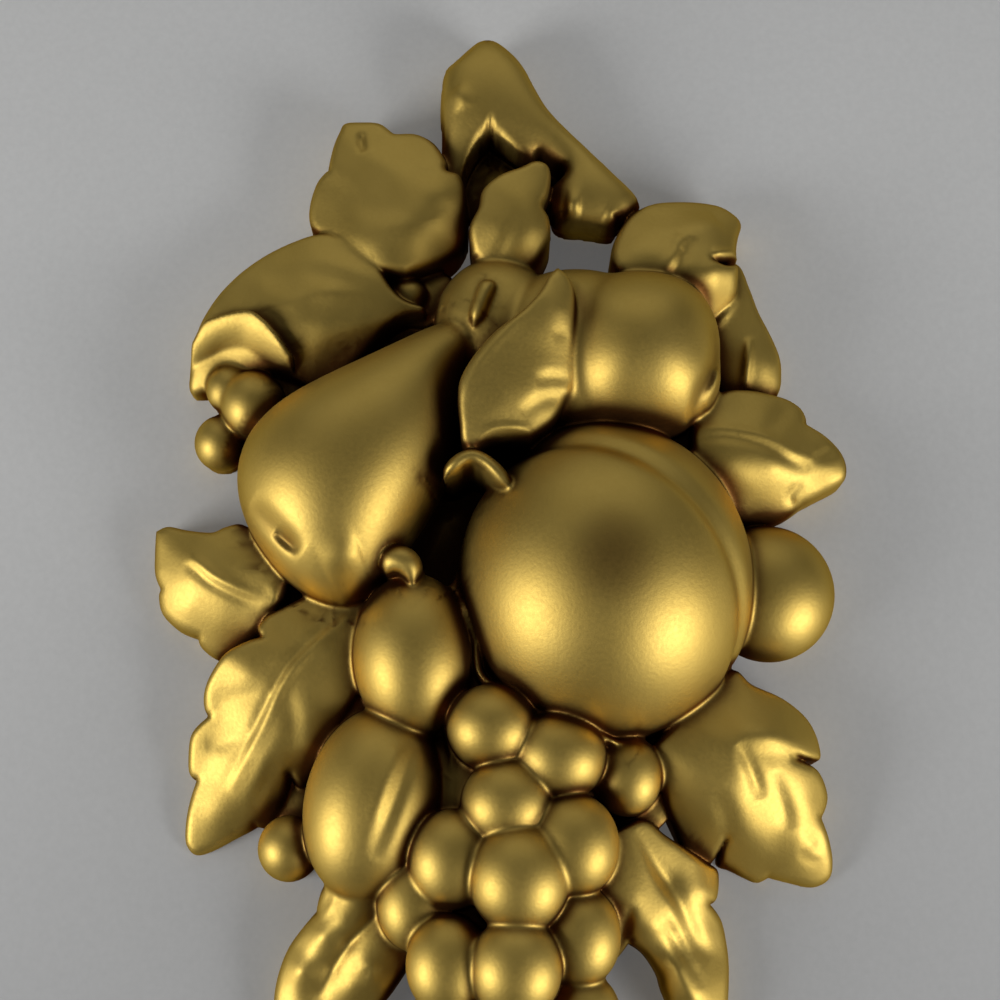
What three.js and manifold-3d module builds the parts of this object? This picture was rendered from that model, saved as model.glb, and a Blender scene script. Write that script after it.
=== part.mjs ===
// A moulded wall plaque: a hanging cluster of fruit, berries, grapes and leaves under a forked twig.
// Millimetres. +X is to the right, +Z is up and the front faces -Y. The flat back lies on the plane y = 0,
// and the origin is on the back, near the middle of the plaque. A height is a distance out from the back.
import * as THREE from 'three';
import { mergeVertices } from 'three/addons/utils/BufferGeometryUtils.js';
import Module from 'manifold-3d';

const wasm = await Module();
wasm.setup();

// How far each form runs past the back plane before the back is cut flat.
const BEHIND = 3;
// The back cut is a block larger than the plaque.
const TRIM_SIZE = 500;
const TRIM_DEPTH = 80;

// Steps of the round forms.
const FRUIT_SIDES = 24;
const FRUIT_RINGS = 5;
const GRAPE_SIDES = 12;
const GRAPE_RINGS = 3;
const BODY_SIDES = 16;
// Below its widest line a fruit draws in by this share, and then runs straight to the wall.
const TUCK = 0.1;

// Fruit: x, z is the middle, level the height of the widest line, rx and rz the half sizes,
// front how far the crown stands above that line, and turn the lean of the long axis in degrees.
const PEACH = { x: 32.5, z: -5, level: 16, rx: 45.5, rz: 48.5, front: 46, sutureDepth: 1.8, sutureSpan: 7 };
const APPLE_SHOULDER = { x: -3, z: 83, level: 20, rx: 19, rz: 15, front: 19, turn: -10 };
const OLIVE = { x: -26, z: -29, level: 23, rx: 18.5, rz: 25, front: 19, turn: 2 };
const PLUM = { x: -38, z: -73, level: 20, rx: 20.5, rz: 29, front: 20, turn: -11 };
const SIDE_BERRY = { x: 83.5, z: -7.5, level: 8, rx: 21, rz: 21.5, front: 17, turn: 0 };

const SMALL_BERRIES = [
  { x: -78, z: 52, level: 15, rx: 10, rz: 11, front: 10, turn: 0 },
  { x: -88.5, z: 41, level: 9, rx: 8.5, rz: 9, front: 8.5, turn: 0 },
  { x: -86, z: 58, level: 12, rx: 7.5, rz: 8, front: 7, turn: 0 },
  { x: -63.5, z: -86, level: 12, rx: 9.5, rz: 10, front: 9.5, turn: 0 },
];

// Grapes: x, z, level, half width, half height.
const GRAPES = [
  [-3.5, -53, 32, 11, 10.5],
  [19, -61, 31, 12, 11.5],
  [40.5, -66, 24, 8.5, 10.5],
  [2, -74, 33, 11.5, 11.5],
  [23, -86, 33, 11.5, 13],
  [-14, -90, 31, 11, 12.5],
  [5.5, -96, 37, 12.5, 13.5],
  [-25, -103, 25, 9.5, 11.5],
  [24, -112, 29, 10.5, 12.5],
  [-15, -120, 32, 10.5, 12.5],
  [4.5, -121, 37, 11.5, 12.5],
  [24, -134, 25, 9.5, 10.5],
  [-20, -141, 24, 9, 10.5],
  [3, -145, 32, 11.5, 12],
  [16, -154, 24, 9, 10],
  [-8, -161, 24, 9.5, 10],
  [6, -171, 18, 8.5, 9],
];
// The low web that closes the fork of the twig.
const FORK_WEB = { x: -4, z: 131, level: 4, rx: 14, rz: 16, front: 3, turn: 0 };
const GRAPE_CORE = { x: 3, z: -98, level: 12, rx: 26, rz: 66, front: 20, turn: 0 };
const BACK_CORE = { x: 0, z: -6, rx: 66, rz: 96, thickness: 9 };

// Round bodies that follow a path. Each station is x, z, half width, level, front.
const PEAR = [
  [-71, -2, 0, 20, 0],
  [-69.5, 0, 10, 20, 12],
  [-66.5, 4, 20, 20, 21],
  [-61.5, 10, 27.5, 20, 27],
  [-54, 18.5, 31.5, 20, 30],
  [-45, 28.5, 30.5, 20, 29],
  [-36.5, 41, 26.5, 20, 26],
  [-30.5, 49.5, 22, 21, 22],
  [-24.5, 57.5, 16, 22, 18],
  [-19, 64.5, 12, 23, 15],
  [-14, 71, 9.5, 24, 12],
  [-10.5, 76, 6.5, 25, 8],
  [-9, 78, 0, 25, 0],
];
const APPLE = [
  [-5, 80.5, 0, 20, 0],
  [-2, 80, 12, 20, 14],
  [5, 77, 17, 20, 20],
  [16, 73, 21.5, 20, 25],
  [28, 70, 23.5, 20, 27],
  [40, 68, 25, 20, 28],
  [51, 67, 24.5, 20, 27],
  [60, 66, 21, 20, 23],
  [66.5, 65.5, 14.5, 20, 16],
  [69.5, 65, 8, 20, 8],
  [70.8, 65, 0, 20, 0],
];
const TWIG = [
  [-4, 175, 0, 13, 0],
  [-4.5, 173, 7, 13, 8],
  [-6, 167, 11.5, 13, 10],
  [-4, 158, 13.5, 13, 11],
  [1, 150, 11.5, 13, 11],
  [9, 144, 9.5, 13, 11],
  [19, 134.5, 8.5, 12, 11],
  [28, 122.5, 10.5, 12, 11],
  [36, 116, 9.5, 12, 10],
  [43, 112, 6, 11, 8],
  [46, 110, 0, 11, 0],
];
const TWIG_BRANCH = [
  [-12, 166, 0, 12, 0],
  [-12.5, 160, 7, 12, 10],
  [-13, 150, 6.5, 12, 10],
  [-14, 140, 4.5, 12, 9],
  [-15, 132, 3, 12, 7],
  [-15.5, 124, 0, 12, 0],
];
const STEMS = [
  // The peach's stem.
  [
    [-14, 25, 0, 38, 0],
    [-12, 26, 3, 38, 4],
    [-4, 25, 3.2, 40, 4],
    [2, 20, 2.6, 42, 3.5],
    [5, 16, 0, 42, 0],
  ],
  // The olive's stem.
  [[-34, 6, 0, 34, 0], [-32.5, 3, 4, 34, 4], [-29, -4, 4.2, 34, 4], [-27, -10, 0, 34, 0]],
  // The apple's stem, bent over in its hollow.
  [
    [-10, 79, 0, 36, 0],
    [-8.5, 82, 3, 37, 3],
    [-6, 88, 3.5, 37, 4],
    [-3, 89, 3.5, 37, 4],
    [-4, 80, 0, 35, 0],
  ],
  // The knob under the upper left leaf.
  [[-33, 93, 0, 18, 0], [-32, 91, 5, 18, 6], [-30, 84, 5.5, 18, 7], [-29, 78, 0, 18, 0]],
];
// The rolled lip along the lower edge of the left leaf.
const LEAF_LIP = [
  [-98, 61, 0, 13, 0],
  [-97.5, 65, 5, 14, 7],
  [-93, 73, 6.5, 15, 10],
  [-85, 75, 7, 16, 11],
  [-76, 70.5, 6.5, 16, 10],
  [-67, 64, 4.5, 15, 8],
  [-61, 60.5, 0, 14, 0],
];

// Leaves. base is where the midrib starts, heading its direction in degrees, length its run. heights are of
// the midrib at the base, the middle and the tip. Each side is a list of [along, out, bulge]: the edge runs
// from the last point to this one in an arc that stands out by bulge. roll is how far each side falls.
const LEAVES = {
  upperLeft: {
    base: [-22, 95], heading: 119, length: 62, heights: [29, 27, 19], puff: 3, groove: 0.8, roll: [8, 6],
    left: [[2, 10, 2], [14, 22, 2], [46, 19, 5], [48, 14, 0], [62, 0, 2.5]],
    right: [[5, 15, 1], [26, 19.5, 3], [46, 13.5, 5.5], [48, 11.5, 0], [62, 0, 2]],
  },
  left: {
    base: [-24, 82], heading: -175, length: 74, heights: [22, 21, 15], puff: 2.5, groove: 0.8, roll: [3, 7],
    left: [[2, 8, 1], [34, 21, 1], [53, 16, -1], [76, 19, -1], [74, 0, 3]],
    right: [[5, 11, 1], [16, 17, 1], [30, 28, 0.5], [74, 0, 5]],
  },
  centreTop: {
    base: [0, 96], heading: 69, length: 37, heights: [30, 28, 26], puff: 1.5, groove: 0.8, roll: [4, 3],
    left: [[-1, 11, 2], [37, 0, 6]],
    right: [[5, 11, 2], [21, 8, 1], [37, 0, 2]],
  },
  upperRight: {
    base: [45, 89], heading: 38, length: 44, heights: [26, 24, 17], puff: 3, groove: 1, roll: [5, 4],
    left: [[-4, 11, 1], [10, 19.5, 1], [44, 0, 7]],
    right: [[12, 21, 1], [26, 18, 5], [29, 12, 0], [37, 5, 1], [44, 0, 1]],
  },
  farRight: {
    base: [76, 99], heading: -74, length: 43, heights: [13, 12, 14], puff: 1.5, groove: 1.5, roll: [1, 3],
    left: [[3, 3, 0], [22, 2.5, 0], [43, 0, 3]],
    right: [[3, 3, 0], [30, 13, 1], [38, 12, 1], [43, 0, 2]],
  },
  right: {
    base: [60, 39], heading: -9, length: 50, heights: [22, 21, 13], puff: 3, groove: 1.2, roll: [5, 6],
    left: [[5, 16, 1], [33, 18.5, 4.5], [35, 14.5, 0], [50, 0, 4]],
    right: [[10, 15, 1], [18, 22, 1], [36, 17.5, 2.5], [37.5, 15, 0], [50, 0, 3.5]],
  },
  centre: {
    base: [18, 83], heading: -117, length: 61, heights: [40, 48, 45], puff: 1.5, groove: 0.8, roll: [3, 4],
    left: [[3, 7, 2], [26, 17.5, 1.5], [44, 17, 3], [61, 0, 1]],
    right: [[20, 5.5, 0], [44, 10, 1.5], [61, 0, 3]],
  },
  lowLeftSmall: {
    base: [-67, -8], heading: 153, length: 46, heights: [18, 15, 9], puff: 2.5, groove: 1.2, roll: [4, 3],
    left: [[4, 15, 0], [9, 27, 1], [20, 23, 1], [22, 22, 0], [34, 19, 3], [35, 17, 0], [46, 0, 4]],
    right: [[5, 7, 1], [19, 11.5, 1.5], [31, 7, 1], [46, 0, 1]],
  },
  lowLeft: {
    base: [-48, -18], heading: -124, length: 82,
    heights: [20, 22, 14], puff: 3.5, groove: 1.6, roll: [5, 6],
    left: [[10, 15, 2], [44, 18, 2], [47, 12, 0], [58, 15, 1], [65, 9.5, 1], [67, 12, 0], [82, 0, 4]],
    right: [[3, 13, 2], [14, 22, 2], [16, 17.5, 0], [42, 22.5, 4], [44, 19, 0], [60, 16, 2], [63, 12, 0],
      [82, 0, 2]],
  },
  lowRight: {
    base: [50, -46], heading: -43, length: 70, heights: [22, 28, 18], puff: 4, groove: 1.6, roll: [6, 7],
    left: [[5, 24, 2], [17, 25, 0], [41, 23, 5], [39, 16, 0], [53, 14, 3], [55, 11, 0], [70, 0, 3]],
    right: [[12, 14, 2], [41, 22, 4], [40, 14, 0], [56, 17, 3], [56.5, 13, 0], [70, 0, 4]],
  },
  lowestRight: {
    base: [40, -83], heading: -68, length: 66, heights: [22, 20, 12], puff: 3, groove: 1.6, roll: [5, 6],
    left: [[8, 13, 1], [23, 18.5, 3], [27, 15, 0], [48, 12, 2.5], [50, 10.5, 0], [66, 0, 2]],
    right: [[8, 11, 1], [29, 21, 1], [30, 13, 0], [50, 10, 1.5], [66, 0, 2]],
  },
  lowestLeft: {
    base: [-38, -100], heading: -124, length: 52, heights: [22, 18, 11], puff: 3, groove: 1.6, roll: [5, 5],
    left: [[5, 11, 1], [28, 14.5, 2], [30, 12.5, 0], [52, 0, 3]],
    right: [[4, 11, 1], [12, 12, 0], [14, 10, 0], [36, 9.5, 2], [38, 7, 0], [52, 0, 1.5]],
  },
};
// An arc of a leaf's edge that runs further than this has three steps, a shorter one two.
const LONG_ARC = 16;
// The midrib starts and ends this far inside the leaf's ends.
const MIDRIB_INSET = 3;
// Rings of a leaf from its edge in to its midrib: share of the half width, and fall of the rounded edge.
const LEAF_RINGS = [[1, 1.8], [0.85, 0], [0.4, 0], [0, 0]];

// A plan position (x, z) and a height make a point of the plaque.
function place(x, z, height) {
  return new THREE.Vector3(x, -height, z);
}

// Closed three.js geometry to a solid. Faces that have shrunk to a line are left out.
function solidOf(geometry) {
  geometry.deleteAttribute('normal');
  geometry.deleteAttribute('uv');
  const merged = mergeVertices(geometry, 1e-4);
  const source = Array.from(merged.index.array);
  const faces = [];
  for (let i = 0; i < source.length; i += 3) {
    const [a, b, c] = source.slice(i, i + 3);
    if (a !== b && b !== c && c !== a) faces.push(a, b, c);
  }
  const solid = new wasm.Manifold(new wasm.Mesh({
    numProp: 3,
    vertProperties: new Float32Array(merged.attributes.position.array),
    triVerts: new Uint32Array(faces),
  }));
  if (solid.volume() <= 0) throw new Error('a form is inside out');
  return solid;
}

// The profile of a fruit, from its crown to the wall and back to its axis: [radius share, height].
function fruitProfile(level, front, rings) {
  const profile = [];
  for (let i = 0; i <= rings; i += 1) {
    const angle = (Math.PI / 2) * (1 - i / rings);
    profile.push([Math.cos(angle), level + front * Math.sin(angle)]);
  }
  profile[0][0] = 0;
  if (rings > GRAPE_RINGS) profile.push([1 - TUCK, level * 0.5]);
  profile.push([1 - TUCK, -BEHIND]);
  profile.push([0, -BEHIND]);
  return profile;
}

function fruit({ x, z, level, rx, rz, front, turn }, sides, rings) {
  const profile = fruitProfile(level, front, rings).reverse();
  const geometry = new THREE.LatheGeometry(profile.map(([r, h]) => new THREE.Vector2(r, h)), sides);
  const angle = THREE.MathUtils.degToRad(turn);
  const position = geometry.attributes.position;
  for (let i = 0; i < position.count; i += 1) {
    const across = position.getX(i) * rx;
    const up = -position.getZ(i) * rz;
    const px = x + across * Math.cos(angle) - up * Math.sin(angle);
    const pz = z + across * Math.sin(angle) + up * Math.cos(angle);
    const point = place(px, pz, position.getY(i));
    position.setXYZ(i, point.x, point.y, point.z);
  }
  return solidOf(geometry);
}

// The peach is turned about the line through its two cheeks, so that its suture is a ring around it.
const PEACH_SIDES = 26;
const PEACH_CHEEK = [0.4, 0.7, 0.58];
// The suture's section: shares of its half width and of its depth, from one lip to the other.
const SUTURE_SHARES = [-1, -0.4, 0, 0.4, 1];
const SUTURE_DEPTHS = [0, 0.7, 1, 0.7, 0];
// A lower body inside the peach carries its flank down to the wall.
const PEACH_FOOT_SHARE = 0.97;
const PEACH_FOOT_FRONT = 20;

function peachSolid() {
  const half = Math.PI / 2;
  const steps = 8;
  const profile = [];
  for (let i = -steps; i <= steps; i += 1) {
    const latitude = half * (i / steps);
    profile.push(new THREE.Vector2(Math.abs(i) === steps ? 0 : Math.cos(latitude), Math.sin(latitude)));
  }
  const span = THREE.MathUtils.degToRad(PEACH.sutureSpan);
  SUTURE_SHARES.forEach((share, i) => {
    const latitude = span * share;
    const radius = 1 - (PEACH.sutureDepth * SUTURE_DEPTHS[i]) / PEACH.rx;
    const point = new THREE.Vector2(radius * Math.cos(latitude), radius * Math.sin(latitude));
    profile[steps - 2 + i] = point;
  });
  const geometry = new THREE.LatheGeometry(profile, PEACH_SIDES);
  const cheek = new THREE.Vector3(...PEACH_CHEEK).normalize();
  geometry.applyQuaternion(new THREE.Quaternion().setFromUnitVectors(new THREE.Vector3(0, 1, 0), cheek));
  geometry.scale(PEACH.rx, PEACH.front, PEACH.rz);
  geometry.translate(PEACH.x, -PEACH.level, PEACH.z);
  const foot = { ...PEACH, front: PEACH_FOOT_FRONT, turn: 0 };
  foot.rx = PEACH.rx * PEACH_FOOT_SHARE;
  foot.rz = PEACH.rz * PEACH_FOOT_SHARE;
  return solidOf(geometry).add(fruit(foot, FRUIT_SIDES, 2));
}

// A round body over a path in plan. Its section is a half ellipse on straight sides down to the wall.
function roundBody(stations) {
  const geometry = new THREE.SphereGeometry(1, BODY_SIDES, stations.length - 1);
  const position = geometry.attributes.position;
  const row = BODY_SIDES + 1;
  stations.forEach(([x, z, width, level, front], j) => {
    const before = stations[Math.max(j - 1, 0)];
    const after = stations[Math.min(j + 1, stations.length - 1)];
    const along = new THREE.Vector2(after[0] - before[0], after[1] - before[1]).normalize();
    for (let i = 0; i < row; i += 1) {
      const angle = (i / BODY_SIDES) * Math.PI * 2;
      const c = Math.cos(angle);
      const s = Math.sin(angle);
      const outward = s >= -1e-9;
      const across = width * (outward ? c : Math.sign(c) * Math.abs(c) ** 0.35);
      const reach = width > 0 ? Math.min(1, -s * 1.6) : 0;
      const height = outward ? level + front * s : level - (level + BEHIND) * reach;
      const point = place(x + along.y * across, z - along.x * across, height);
      position.setXYZ(j * row + i, point.x, point.y, point.z);
    }
  });
  return solidOf(geometry);
}

// The edge of one side of a leaf as [along, out] points, from the base to the tip.
function leafSide(points) {
  const edge = [[0, 0]];
  points.forEach(([along, out, bulge]) => {
    const [startAlong, startOut] = edge[edge.length - 1];
    const run = Math.hypot(along - startAlong, out - startOut);
    const normal = [-(out - startOut) / run, (along - startAlong) / run];
    const arcSteps = run > LONG_ARC ? 3 : 2;
    const steps = bulge === 0 ? 1 : arcSteps;
    for (let i = 1; i <= steps; i += 1) {
      const t = i / steps;
      const rise = 4 * bulge * t * (1 - t);
      edge.push([
        startAlong + (along - startAlong) * t + normal[0] * rise,
        startOut + (out - startOut) * t + normal[1] * rise,
      ]);
    }
  });
  return edge;
}

function leafHeight(leaf, share, side, across) {
  const [base, middle, tip] = leaf.heights;
  const rest = 1 - share;
  const crest = base * rest * (rest - share) + 4 * middle * share * rest + tip * share * (share - rest);
  const puff = leaf.puff * Math.sin(Math.PI * across) * Math.sin(Math.PI * share);
  const groove = across === 0 ? leaf.groove : 0;
  return crest + puff - groove - leaf.roll[side] * across * across;
}

// Splits the longest runs of an edge until it has this many points.
function evened(edge, count) {
  const points = [...edge];
  while (points.length < count) {
    let longest = 1;
    const run = (i) => Math.hypot(points[i][0] - points[i - 1][0], points[i][1] - points[i - 1][1]);
    for (let i = 2; i < points.length; i += 1) if (run(i) > run(longest)) longest = i;
    const [start, end] = [points[longest - 1], points[longest]];
    points.splice(longest, 0, [(start[0] + end[0]) / 2, (start[1] + end[1]) / 2]);
  }
  return points;
}

// A leaf: the disc of a lathe, its rim drawn out to the leaf's edge and its middle to the midrib.
function leafSolid(leaf) {
  const sides = [leafSide(leaf.left), leafSide(leaf.right)];
  const count = Math.max(sides[0].length, sides[1].length);
  const [left, right] = sides.map((edge) => evened(edge, count));
  const last = count - 1;
  const feet = left.map(([along], k) => {
    const between = Math.min(Math.max((along + right[k][0]) / 2, MIDRIB_INSET), leaf.length - MIDRIB_INSET);
    return (between + MIDRIB_INSET + ((leaf.length - 2 * MIDRIB_INSET) * k) / last) / 2;
  });
  const steps = 2 * last;
  const rings = LEAF_RINGS.length + 2;
  const profile = [];
  for (let j = 0; j < rings; j += 1) profile.push(new THREE.Vector2(j === 0 || j === rings - 1 ? 0 : 1, j));
  const geometry = new THREE.LatheGeometry(profile, steps);
  const position = geometry.attributes.position;
  const angle = THREE.MathUtils.degToRad(leaf.heading);
  for (let i = 0; i <= steps; i += 1) {
    const k = i <= last ? i : steps - i;
    const onLeft = i > last || k === 0 || k === last;
    const [along, out] = onLeft ? left[k] : right[k];
    for (let j = 0; j < rings; j += 1) {
      const [across, fall] = j < 2 ? [j, 0] : LEAF_RINGS[j - 2];
      const crown = leafHeight(leaf, feet[k] / leaf.length, onLeft ? 0 : 1, across);
      const height = j < 2 ? -BEHIND : crown - fall;
      const a = feet[k] + (along - feet[k]) * across;
      const o = (onLeft ? out : -out) * across;
      const x = leaf.base[0] + a * Math.cos(angle) - o * Math.sin(angle);
      const z = leaf.base[1] + a * Math.sin(angle) + o * Math.cos(angle);
      const point = place(x, z, height);
      position.setXYZ(i * rings + j, point.x, point.y, point.z);
    }
  }
  return solidOf(geometry);
}

function backCore() {
  const { x, z, rx, rz, thickness } = BACK_CORE;
  const geometry = new THREE.CylinderGeometry(1, 1, thickness + BEHIND, 28);
  geometry.scale(rx, 1, rz);
  geometry.translate(x, (BEHIND - thickness) / 2, z);
  return solidOf(geometry);
}

function trimBlock() {
  const geometry = new THREE.BoxGeometry(TRIM_SIZE, TRIM_DEPTH, TRIM_SIZE);
  geometry.translate(0, TRIM_DEPTH / 2, 0);
  return solidOf(geometry);
}

function plaqueSolid() {
  const forms = [backCore(), peachSolid(), roundBody(PEAR), roundBody(TWIG), roundBody(TWIG_BRANCH)];
  forms.push(roundBody(LEAF_LIP), roundBody(APPLE));
  [APPLE_SHOULDER, OLIVE, PLUM, SIDE_BERRY].forEach((f) => forms.push(fruit(f, FRUIT_SIDES, FRUIT_RINGS)));
  SMALL_BERRIES.forEach((berry) => forms.push(fruit(berry, GRAPE_SIDES, GRAPE_RINGS)));
  [GRAPE_CORE, FORK_WEB].forEach((web) => forms.push(fruit(web, GRAPE_SIDES, GRAPE_RINGS)));
  GRAPES.forEach(([x, z, level, rx, rz]) => {
    forms.push(fruit({ x, z, level, rx, rz, front: rx, turn: 0 }, GRAPE_SIDES, GRAPE_RINGS));
  });
  STEMS.forEach((stations) => forms.push(roundBody(stations)));
  Object.values(LEAVES).forEach((leaf) => forms.push(leafSolid(leaf)));
  const joined = forms.reduce((whole, form) => whole.add(form));
  return filled(joined.subtract(trimBlock()));
}

// The solid without the closed hollows left between its forms, which a moulding has filled.
function filled(solid) {
  const shells = solid.decompose().filter((shell) => shell.volume() > 0);
  return shells.reduce((whole, shell) => whole.add(shell));
}

// Joining leaves tiny edges and needle faces. An edge shorter than this is closed up, and a face flatter
// than FLAT is turned against its neighbour.
const SHORT = 0.06;
const FLAT = 0.03;
const CLEAN_ROUNDS = 12;

function facesByEdge(faces) {
  const owner = new Map();
  faces.forEach((face, f) => face.forEach((v, k) => owner.set(`${v},${face[(k + 1) % 3]}`, f)));
  return owner;
}

function neighboursOf(faces) {
  const around = new Map();
  faces.forEach((face) => face.forEach((v) => {
    if (!around.has(v)) around.set(v, new Set());
    face.forEach((w) => w !== v && around.get(v).add(w));
  }));
  return around;
}

function closeShortEdges(points, faces) {
  const around = neighboursOf(faces);
  const moved = new Map();
  const busy = new Set();
  faces.forEach((face) => face.forEach((v, k) => {
    const w = face[(k + 1) % 3];
    if (v > w || points[v].distanceTo(points[w]) > SHORT || busy.has(v) || busy.has(w)) return;
    const shared = [...around.get(v)].filter((u) => around.get(w).has(u));
    if (shared.length !== 2) return;
    moved.set(w, v);
    [v, w].forEach((end) => around.get(end).forEach((u) => busy.add(u)));
  }));
  const renamed = faces.map((face) => face.map((v) => (moved.has(v) ? moved.get(v) : v)));
  return renamed.filter(([a, b, c]) => a !== b && b !== c && c !== a);
}

function turnFlatFaces(points, faces) {
  const owner = facesByEdge(faces);
  const done = new Set();
  faces.forEach((face, f) => {
    if (done.has(f)) return;
    const runs = face.map((v, k) => points[v].distanceTo(points[face[(k + 1) % 3]]));
    const longest = runs.indexOf(Math.max(...runs));
    const [a, b, c] = [0, 1, 2].map((k) => face[(longest + k) % 3]);
    const area = new THREE.Triangle(points[a], points[b], points[c]).getArea();
    if ((2 * area) / runs[longest] > FLAT) return;
    const other = owner.get(`${b},${a}`);
    if (other === undefined || done.has(other)) return;
    const d = faces[other].find((v) => v !== a && v !== b);
    if (d === c || owner.has(`${c},${d}`) || owner.has(`${d},${c}`)) return;
    faces[f] = [a, d, c];
    faces[other] = [d, b, c];
    [face, faces[other]].forEach((old) => old.forEach((v, k) => {
      const beside = owner.get(`${old[(k + 1) % 3]},${v}`);
      if (beside !== undefined) done.add(beside);
    }));
    done.add(f);
    done.add(other);
  });
  return faces;
}

// The surface of a solid as a three.js geometry.
function geometryOf(solid) {
  const mesh = solid.getMesh();
  const points = [];
  for (let i = 0; i < mesh.vertProperties.length; i += 3) {
    points.push(new THREE.Vector3().fromArray(mesh.vertProperties, i));
  }
  let faces = [];
  for (let i = 0; i < mesh.triVerts.length; i += 3) faces.push(Array.from(mesh.triVerts.slice(i, i + 3)));
  for (let round = 0; round < CLEAN_ROUNDS; round += 1) {
    faces = turnFlatFaces(points, closeShortEdges(points, faces));
  }
  const geometry = new THREE.BufferGeometry();
  const coordinates = points.flatMap((p) => p.toArray());
  geometry.setAttribute('position', new THREE.Float32BufferAttribute(coordinates, 3));
  geometry.setIndex(faces.flat());
  geometry.computeVertexNormals();
  return geometry;
}

const gold = new THREE.MeshStandardMaterial({ color: 0xb08d3c, roughness: 0.35, metalness: 0.9 });
const plaque = new THREE.Mesh(geometryOf(plaqueSolid()), gold);
plaque.name = 'fruit_plaque';

const model = new THREE.Group();
model.name = 'wall_plaque';
model.add(plaque);

export default model;
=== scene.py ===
"""A moulded gold wall plaque: a hanging cluster of fruit, berries, grapes and leaves under a forked twig.

The forms are those of the CAD part, given again in its millimetres and shaped further. +X is to the right,
+Z is up and a height is a distance out from the flat back. They are joined softly in one distance field,
which becomes one fine mesh in the place of the CAD node.
"""
import math

import bpy
import numpy as np
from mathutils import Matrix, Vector


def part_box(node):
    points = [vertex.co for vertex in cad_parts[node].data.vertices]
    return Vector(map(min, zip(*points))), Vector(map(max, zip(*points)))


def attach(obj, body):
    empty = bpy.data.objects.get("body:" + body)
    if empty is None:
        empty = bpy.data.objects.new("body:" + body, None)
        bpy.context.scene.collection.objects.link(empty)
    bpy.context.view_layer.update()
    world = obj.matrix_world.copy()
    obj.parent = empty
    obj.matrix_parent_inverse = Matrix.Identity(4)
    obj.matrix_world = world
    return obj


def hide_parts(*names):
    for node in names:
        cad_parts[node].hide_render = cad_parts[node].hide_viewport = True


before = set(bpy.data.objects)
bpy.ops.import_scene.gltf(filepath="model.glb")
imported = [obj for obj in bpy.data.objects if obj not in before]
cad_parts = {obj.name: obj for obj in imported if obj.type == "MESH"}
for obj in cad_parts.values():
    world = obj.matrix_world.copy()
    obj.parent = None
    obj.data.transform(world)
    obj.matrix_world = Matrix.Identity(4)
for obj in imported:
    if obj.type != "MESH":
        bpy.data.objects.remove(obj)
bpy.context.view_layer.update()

# ---- The plaque's forms, in the CAD part's millimetres ----

# Fruit: middle, height of the widest line, half sizes, height of the crown above that line, and lean in
# degrees. A boxy one has squarer corners in plan.
PEACH = dict(x=32.5, z=-5.5, level=16, rx=45.5, rz=50, front=46)
FRUITS = {
    "apple_shoulder": dict(x=-1, z=77, level=17, rx=20, rz=22.5, front=16),
    "apple_neck": dict(x=24, z=67, level=20, rx=26, rz=27.5, front=21, boxy=2.3),
    "apple": dict(x=43.5, z=66, level=20, rx=26, rz=27, front=28, boxy=2.4),
    "olive": dict(x=-26, z=-29, level=23, rx=18.5, rz=25, front=19, turn=2),
    "plum": dict(x=-38, z=-73, level=20, rx=20.5, rz=29, front=20, turn=-11),
    "side_berry": dict(x=83.5, z=-7.5, level=8, rx=21, rz=21.5, front=17),
    "leaf_button": dict(x=-70, z=-9, level=17, rx=3.6, rz=4, front=3),
    "berry_a": dict(x=-78, z=52, level=15, rx=10, rz=11, front=10),
    "berry_b": dict(x=-88.5, z=41, level=9, rx=8.5, rz=9, front=8.5),
    "berry_c": dict(x=-86, z=58, level=12, rx=7.5, rz=8, front=7),
    "berry_d": dict(x=-63.5, z=-86, level=12, rx=9.5, rz=10, front=9.5),
}
# Grapes: x, z, level, half width, half height.
GRAPES = [
    (-2.5, -51.5, 32, 11.5, 11),
    (17.5, -60, 31, 12, 11.5),
    (38, -65, 24, 9, 10.5),
    (2, -74, 33, 11.5, 11.5),
    (21.5, -86, 33, 11.5, 13),
    (-14, -90, 31, 11, 12.5),
    (5.5, -96, 37, 12.5, 13.5),
    (-25, -103, 25, 9.5, 11.5),
    (23, -112, 29, 10.5, 12.5),
    (-15, -120, 32, 10.5, 12.5),
    (4.5, -121, 37, 11.5, 12.5),
    (24, -134, 25, 9.5, 10.5),
    (-20, -141, 24, 9, 10.5),
    (3, -145, 32, 11.5, 12),
    (16, -154, 24, 9, 10),
    (-8, -161, 24, 9.5, 10),
    (6, -171, 18, 8.5, 9),
]
# Low swells that close the gaps between the forms: x, z, level, half width, half height, front.
WEBS = [
    (0, 131, 2, 20, 16, 2),
    (-24.5, 89, 11, 12, 10, 3),
    (57, 43, 12, 10, 11, 3),
    (-68, 61, 9, 11, 10, 3),
    (-59, -70, 5, 10, 12, 2),
    (-46, -42, 14, 8, 14, 4),
    (-10, -28, 22, 9, 26, 4),
    (43, -62, 15, 12, 20, 3),
    (-48, -14, 13, 15, 7, 3),
]
GRAPE_CORE = dict(x=3, z=-98, level=21, rx=26, rz=66, front=6, boxy=2.6)
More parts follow.
